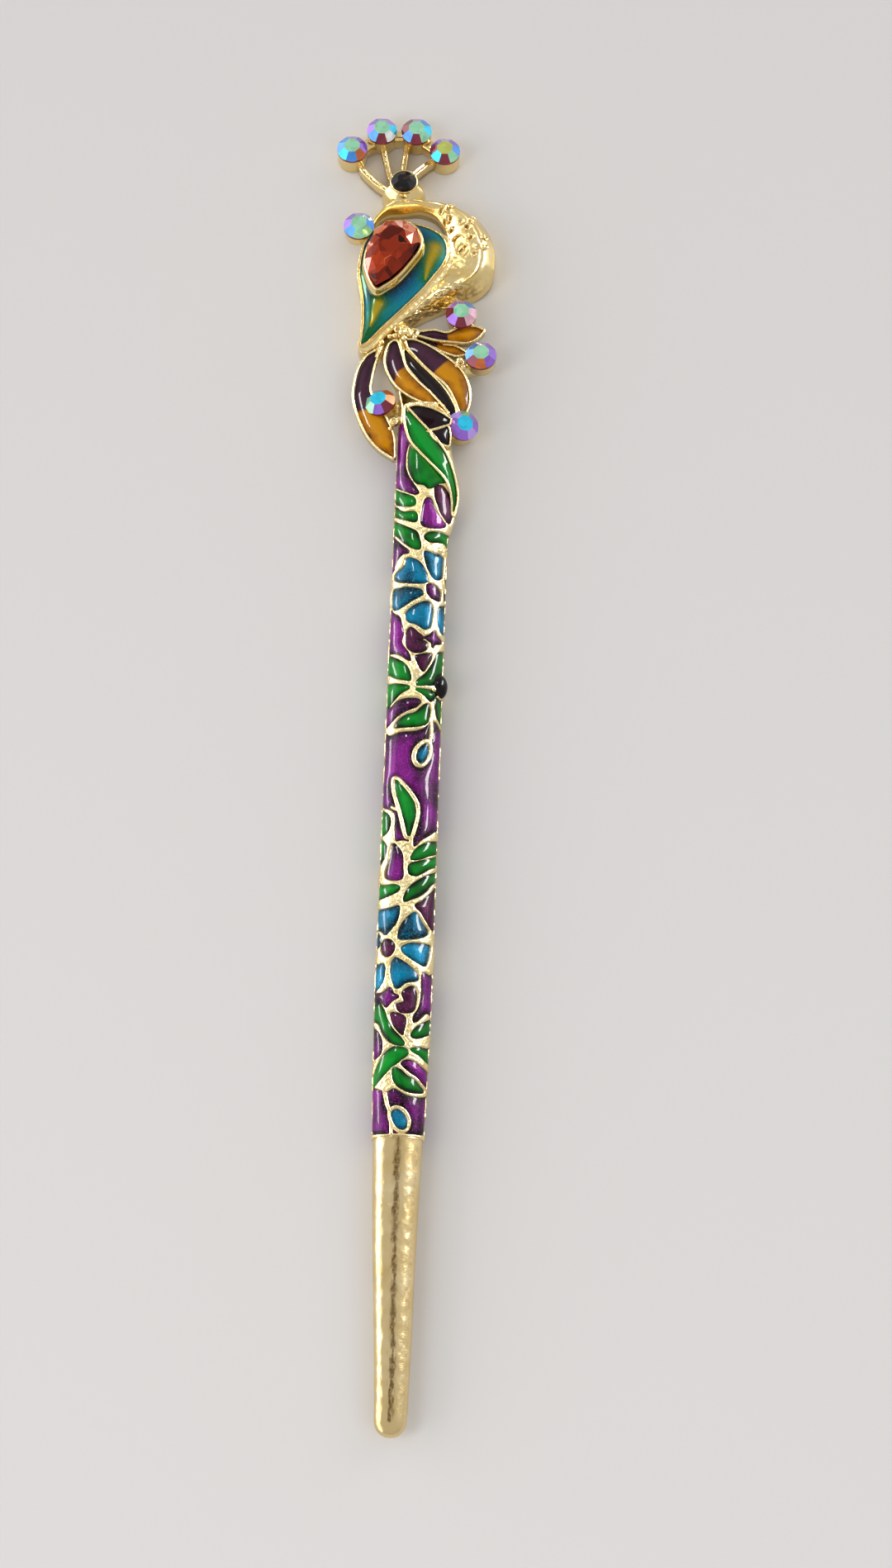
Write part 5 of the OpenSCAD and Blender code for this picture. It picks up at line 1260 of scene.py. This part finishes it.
def tilted(points, tilt_x, tilt_y):
    """Points turned by degrees about the x axis, then about the y axis."""
    turn_to = Matrix.Rotation(math.radians(tilt_y), 3, "Y") @ Matrix.Rotation(math.radians(tilt_x), 3, "X")
    return points @ np.array(turn_to).T


def turned(profile, seat, sides, seed):
    """A body turned about a seat's axis from rows of radius and height above the rim, with a
    little of the casting's unevenness, tilted as the seat is."""
    x, y, z, tilt_x, tilt_y = seat
    a = np.linspace(0, 2 * np.pi, sides, endpoint=False)
    r, h = np.asarray(profile, float).T
    uneven = 1 + 0.012 * grain(a[None] * 3, h[:, None] * 2, 0.8, seed)
    rings = np.stack([r[:, None] * uneven * np.cos(a), r[:, None] * uneven * np.sin(a),
                      h[:, None] * np.ones(sides)], -1)
    return tilted(rings, tilt_x, tilt_y) + [x, y, z]


BEAK = (-9.55, 162.15, 3.2)
PETAL_SEATS = [(4.2, 148.5, 3.9, 0, 0, 2.2), (6.9, 142.5, 3.6, 0, 0, 1.9),
               (4.9, 132.2, 3.3, 8, 16, 1.2), (-5.8, 135.3, 3.3, -8, -14, 1.6)]
# Every cup's middle, its tilts in degrees and the height of its foot
SEATS = [(*c, 0, 0, 0) for c in CREST] + [(*BEAK, 0, 0, 1.6)] + PETAL_SEATS
cup_gold = []
for number, (x, y, z, tilt_x, tilt_y, foot) in enumerate(SEATS):
    deep = z - foot
    cup = [(0.01, -deep), (1.7, -deep), (1.92, -deep + 0.12), (1.99, -deep + 0.4), (2.0, -deep * 0.5),
           (2.03, -0.3), (2.06, -0.08), (2.04, 0.03), (1.98, 0.07), (1.9, 0.03), (1.86, -0.15), (0.01, -0.2)]
    cup_gold.append(lofted(turned(np.array(cup) * [0.958, 1], (x, y, z, tilt_x, tilt_y), 56, 70 + number)))
eye_cup = [(0.01, -3.6), (2.1, -3.6), (1.95, -2.2), (1.72, -1.4), (1.66, -0.8), (1.72, -0.3), (1.82, -0.06),
           (1.8, 0.06), (1.7, 0.1), (1.6, 0.02), (1.58, -0.2), (0.01, -0.25)]
cup_gold.append(lofted(turned(eye_cup, (*EYE, 0, 0), 64, 81)))


# Root knot and struts
# Grains and curls of gold crowd the petals' root, and short struts behind the fan carry
# its outer cups.

# Grains: x, y, middle height and radius. Loops of wire are given the same way
GRAINS = [
    (-3.3, 145.6, 4.0, 0.55), (-2.4, 145.5, 3.8, 0.45), (-4.2, 145.3, 3.7, 0.4), (-1.7, 145.1, 3.7, 0.38),
    (-3.0, 144.8, 3.9, 0.4), (-4.9, 145.4, 3.3, 0.35), (-3.9, 132.2, 3.8, 0.55), (-3.3, 132.9, 3.6, 0.4),
    (-4.3, 131.5, 3.5, 0.35), (4.2, 141.9, 3.5, 0.5), (4.7, 141.0, 3.4, 0.42), (3.9, 141.2, 3.3, 0.35),
    (-5.9, 144.6, 3.1, 0.35), (-2.0, 146.2, 3.5, 0.4), (2.4, 113.6, 3.95, 0.55), (2.4, 94.0, 4.25, 0.3)]
ball_steps = np.linspace(-np.pi / 2 + 0.05, np.pi / 2 - 0.05, 12)
knot_gold = []
for number, (x, y, z, r) in enumerate(GRAINS):
    ball = np.stack([r * np.cos(ball_steps), r * np.sin(ball_steps)], 1)
    knot_gold.append(lofted(turned(ball, (x, y, z, 0, 0), 20, 90 + number)))
LOOPS = [(-2.9, 145.9, 4.2, 0.5), (-1.6, 145.8, 3.9, 0.42), (-3.9, 146.2, 3.9, 0.4),
         (-3.9, 132.2, 4.25, 0.45), (4.3, 141.5, 3.8, 0.42)]
a = np.linspace(0, 2 * np.pi, 24, endpoint=False)
for cx, cy, cz, size in LOOPS:
    loop = np.stack([cx + size * np.cos(a), cy + size * np.sin(a), cz + 0 * a], 1)
    knot_gold.append(wire(loop, 0.12, True, 8))
# Struts: stations of x, y, middle height, half width and half height
STRUTS = [
    [(-3.7, 148.6, 1.2, 1.0, 1.0), (-3.3, 146.2, 1.6, 1.2, 1.9), (-3.4, 143.2, 1.4, 1.3, 1.8),
     (-3.2, 140.0, 1.2, 1.2, 1.3), (-2.2, 136.4, 1.4, 1.0, 1.4), (-0.8, 133.0, 1.6, 1.4, 1.6)],
    [(-3.4, 137.4, 2.4, 0.35, 1.6), (-2.9, 134.0, 2.4, 0.35, 1.9), (-2.8, 132, 2.4, 0.6, 1.8)],
    [(4.2, 148.2, 1.4, 1.0, 1.2), (3.4, 150.4, 1.1, 1.0, 0.9), (2.7, 152.4, 1.0, 0.9, 0.7)],
    [(-6.5, 142.4, 2.3, 0.5, 0.9), (-6.2, 143.6, 2.1, 0.6, 1.0), (-6.0, 145.2, 2.0, 0.6, 0.9)],
    [(6.8, 142.2, 1.4, 0.9, 1.2), (3.4, 141.2, 1.6, 0.9, 1.3)],
    [(4.8, 132.4, 1.4, 0.9, 1.1), (2.6, 133.0, 1.6, 0.9, 1.3)],
    [(-2.6, 135.4, 1.4, 1.0, 1.2), (-5.8, 135.0, 1.6, 1.2, 1.3), (-7.6, 134.6, 1.8, 1.2, 1.3)]]
for path in STRUTS:
    strut = limb(path, 28, 40)
    strut[..., 2] += 0.05 * grain(strut[..., 0], strut[..., 1], 0.5, 99) * eased(strut[..., 2], 1, 2.5)
    knot_gold.append(lofted(strut))

put_in("gilt_petal_trays", *joined(*head_gold), gilt_wall, "gilt_metal", ["casting"])
put_in("gilt_body_ledge", *joined(*body_gold), gilt_smooth, "gilt_metal")
put_in("gilt_crescent_and_crest", *joined(*bird_gold), gilt_smooth, "gilt_metal", (),
       {"hollow": np.concatenate(bird_painted_shade)})
put_in("gilt_cups", *joined(*cup_gold), gilt_smooth, "gilt_metal")
put_in("gilt_root_knot", *joined(*knot_gold), gilt_wall, "gilt_metal")


# Round stones
# Machine-cut round stones of leaded glass, foiled behind and coated so that each facet
# flashes another colour, painted on it as a fixed reflection: a flat table, eight crown
# facets and a hidden point.

TABLE_SHARE = 0.54        # the table's width as a share of the stone's
GIRDLE_HIGH = 0.06
GIRDLE_LOW = -0.25
STONE_LIFT = 0.28         # from the cup's rim plane up to the girdle
UNDERSIDE = 0.9           # the number of the faces below the girdle


def cut_stone(name, seat, diameter, crown, turn_by, hues, finish):
    """A round cut stone on its seat. The crown's eight planes meet the table's eight sides
    and the round girdle, so each facet is a fan of points on one plane. hues gives each
    face a number that its finish turns into a colour: the table first, then the facets."""
    x, y, z, tilt_x, tilt_y = seat
    r, table_r, high = diameter / 2, diameter * TABLE_SHARE / 2, diameter * crown
    table_side = table_r * math.cos(math.pi / 8)
    corner = np.arange(8) * np.pi / 4 + np.pi / 8 + turn_by
    slope = (high - GIRDLE_HIGH) / (r - table_side)
    steps = np.linspace(-np.pi / 8, np.pi / 8, 7)
    table_ring = np.stack([table_r * np.cos(corner), table_r * np.sin(corner), np.full(8, high)], 1)
    points, faces, arcs = list(table_ring), [list(range(8))], []
    for k in range(8):
        a = corner[k] + np.pi / 8 + steps
        arc = np.stack([r * np.cos(a), r * np.sin(a), high - slope * (r * np.cos(steps) - table_side)], 1)
        arcs.append(arc)
        start = len(points)
        points += [table_ring[k], *arc, table_ring[(k + 1) % 8]]
        faces.append(list(range(start, start + 9))[::-1])
    facet_count = len(faces)
    for arc in arcs:
        start = len(points)
        points += [*arc, *(arc * [1, 1, 0] + [0, 0, GIRDLE_LOW]), [0, 0, -0.3 * diameter]]
        for i in range(start, start + 6):
            faces += [[i, i + 7, i + 8, i + 1], [i + 7, start + 14, i + 8]]
    placed = laid(tilted(np.array(points), tilt_x, tilt_y) + [x, y, z + STONE_LIFT])
    mesh = bpy.data.meshes.new(f"cut_{name}")
    mesh.from_pydata(placed.tolist(), [], faces)
    hue = np.full(len(faces), UNDERSIDE, np.float32)
    hue[:facet_count] = hues
    mesh.attributes.new("hue", "FLOAT", "FACE").data.foreach_set("value", hue)
    mesh.materials.append(finish)
    dressed(shown(f"cut_{name}", mesh), [name])


# The coating's colours, painted reflections that each facet keeps, the white a painted
# highlight, each in its own tenth of the numbers that faces carry
COATING = {
    "mint": "#9adcb4", "lime": "#c3cc62", "cyan": "#18ccf4", "blue": "#3f90ea", "violet": "#9262d2",
    "lilac": "#b69aee", "pink": "#e9b6c8", "white": "#eef0ee", "garnet": "#7a1c34", "orange": "#c8662a"}
COAT_NUMBER = {word: (place + 0.5) / 10 for place, word in enumerate(COATING)}


def facets_inside(tree, place, scale, channel, distance="EUCLIDEAN"):
    """A random value for each of the small facets that seem to lie inside the glass, for painted reflections.
    """
    cells = add(tree, "ShaderNodeTexVoronoi", {"distance": distance}, {"Scale": scale}, Vector=place)
    return add(tree, "ShaderNodeSeparateColor", Color=cells.outputs["Color"]).outputs[channel]


# Glass foiled behind and coated: each facet shows one strong colour as a painted reflection,
# lighter and darker in painted glints of small inner facets about 0.8 mm across
coated_glass, tree, shader, place = blank_finish(
    "foiled_coated_glass", {"Metallic": 0.35, "Roughness": 0.08, "Coat Weight": 0.6, "Coat Roughness": 0.0})
face_hue = add(tree, "ShaderNodeAttribute", {"attribute_name": "hue"}).outputs["Fac"]
coat_hue = stops(add(tree, "ShaderNodeValToRGB", Fac=face_hue),
                 [(i / 10, c) for i, c in enumerate(COATING.values())], "CONSTANT").outputs["Color"]
inner_pick = facets_inside(tree, place, 1300.0, 1)
glint = add(tree, "ShaderNodeMapRange", {}, {1: 0.0, 2: 1.0, 3: 0.84, 4: 1.14}, _0=inner_pick).outputs[0]
shaded = add(tree, "ShaderNodeVectorMath", {"operation": "SCALE"}, {}, _0=coat_hue, Scale=glint)
tree.links.new(shaded.outputs[0], shader.inputs["Base Color"])
# Black glass: dark all through, with faint brown inner facets painted in as reflections, and sharp highlights
black_glass, tree, shader, place = blank_finish(
    "black_cut_glass", {"Roughness": 0.05, "Specular IOR Level": 0.35})
inner_pick = facets_inside(tree, place, 1300.0, 1)
black_hue = stops(add(tree, "ShaderNodeValToRGB", Fac=inner_pick),
                  [(0.0, "#040303"), (0.7, "#0c0809"), (1.0, "#3a241c")]).outputs["Color"]
tree.links.new(black_hue, shader.inputs["Base Color"])

# The table, then the facets from the upper right one round by the top and the left
STONES = [
    ("crest_stone_1", (*CREST[0], 0, 0), "mint violet violet blue blue cyan blue orange violet"),
    ("crest_stone_2", (*CREST[1], 0, 0), "mint lilac violet violet violet blue garnet white cyan"),
    ("crest_stone_3", (*CREST[2], 0, 0), "mint blue violet garnet garnet blue garnet mint cyan"),
    ("crest_stone_4", (*CREST[3], 0, 0), "lime violet lilac violet garnet cyan garnet mint blue"),
    ("beak_stone", (*BEAK, 0, 0), "mint blue lilac violet violet blue mint mint blue"),
    ("petal_stone_1", PETAL_SEATS[0][:5], "mint blue lilac violet garnet violet garnet pink pink"),
    ("petal_stone_2", PETAL_SEATS[1][:5], "mint violet lilac blue blue garnet orange violet violet"),
    ("petal_stone_3", PETAL_SEATS[2][:5], "cyan violet mint lilac violet violet violet lilac violet"),
    ("petal_stone_4", PETAL_SEATS[3][:5], "cyan orange garnet blue mint mint violet garnet orange")]
for name, seat, words in STONES:
    cut_stone(name, seat, 4.0, 0.24, 0.0, [COAT_NUMBER[word] for word in words.split()], coated_glass)
cut_stone("eye_stone", (*EYE[:2], 3.95, -8, 0), 3.25, 0.15, 0.2, [UNDERSIDE] * 9, black_glass)


# Breast stone
# A pear-cut stone of foiled brown-orange glass. Its many small crown facets are painted
# one by one, pale salmon against deep rust, as painted reflections, brightest as painted
# highlights toward the upper right.

FACETS_ROUND = 12
girdle = flowing(STONE_EDGE, FACETS_ROUND * 4, True)[::4]
pear_heart = np.array([-5.0, 158.3])
# Rings of corners from the setting up to the table: share of the outline, and height
LEVELS = [(0.97, 0.0), (1.0, 0.30), (0.80, 1.05), (0.50, 1.5)]
pear_rings = []
for number, (shrink, rise) in enumerate(LEVELS):
    ring = (girdle + np.roll(girdle, -1, 0)) / 2 if number == 2 else girdle
    ring = pear_heart + (ring - pear_heart) * shrink
    pear_rings.append(np.column_stack([ring, np.full(FACETS_ROUND, PEAR_Z + rise)]))
pear_points = np.concatenate(pear_rings + [[[*pear_heart, PEAR_Z - 1.8]]])
pear_faces = []
for k in range(FACETS_ROUND):
    g, h, m, t = ([ring * FACETS_ROUND + k, ring * FACETS_ROUND + (k + 1) % FACETS_ROUND]
                  for ring in range(len(LEVELS)))
    pear_faces += [[g[0], g[1], h[1], h[0]], [h[0], h[1], m[0]], [m[0], h[1], m[1], t[1]], [t[0], m[0], t[1]],
                   [4 * FACETS_ROUND, g[1], g[0]]]
pear_faces.append([3 * FACETS_ROUND + k for k in range(FACETS_ROUND)])
pear_mesh = bpy.data.meshes.new("cut_pear_stone")
pear_mesh.from_pydata(laid(pear_points).tolist(), [], pear_faces)
centres = np.array([np.mean(pear_points[f], 0)[:2] for f in pear_faces]) - pear_heart
# Painted highlight: facets toward the upper right get more flash, and random ones some, as painted
# reflections
lit_side = centres @ np.array([0.75, 0.66]) / (np.linalg.norm(centres, axis=1) + 0.4)
luck = np.random.default_rng(8).uniform(0, 1, len(pear_faces))
painted_flash_share = 0.34 * luck + 0.5 * np.clip(lit_side, 0, 1) ** 2
pear_mesh.attributes.new("flash", "FLOAT", "FACE").data.foreach_set("value", painted_flash_share.astype(np.float32))
# Rust-coloured glass, foiled behind: painted reflections of inner facets about 2 mm across
# mix pale salmon into the dark, and each cut facet's painted flash shifts them toward a
# pale painted highlight
rust_glass, tree, shader, place = blank_finish(
    "foiled_rust_glass", {"Metallic": 0.15, "Roughness": 0.08, "Specular IOR Level": 0.1,
                          "Coat Weight": 0.25, "Coat Roughness": 0.0})
flash = add(tree, "ShaderNodeAttribute", {"attribute_name": "flash"}).outputs["Fac"]
inner_pick = facets_inside(tree, place, 480.0, 0, "MANHATTAN")
mixed = add(tree, "ShaderNodeMath", {"operation": "MULTIPLY_ADD"}, {1: 0.66}, _0=inner_pick, _2=flash)
rust = stops(add(tree, "ShaderNodeValToRGB", Fac=mixed.outputs[0]),
             [(0.12, "#260502"), (0.3, "#4c0e04"), (0.52, "#7e2206"), (0.74, "#a83610"), (0.92, "#e07a52"),
              (1.0, "#ffd0c0")])
tree.links.new(rust.outputs["Color"], shader.inputs["Base Color"])
pear_mesh.materials.append(rust_glass)
dressed(shown("cut_pear_stone", pear_mesh), ["pear_stone"])


# Side bead
# A drop of near-black enamel stands domed on the right flank, like a polished bead.

bead_steps = np.linspace(0, np.pi / 2, 14)[:-1]
dome = np.stack([np.cos(bead_steps), 0.85 * np.sin(bead_steps)], 1)
bead_rows = np.concatenate([[[0.01, -0.5], [1.0, -0.5]], dome, [[0.02, 0.85]]])
bead_body = turned(bead_rows, (0, 0, 0, 0, 0), 48, 3) * [1.05, 1.6, 1.12]
bead_points, bead_faces = lofted(tilted(bead_body, 0, 52) + [3.05, 94.9, 3.2])
put_in("side_bead", bead_points, bead_faces, black_plum_fill, "black_stone", ["side_cabochon"],
       {"depth": np.full(len(bead_points), 0.1)})
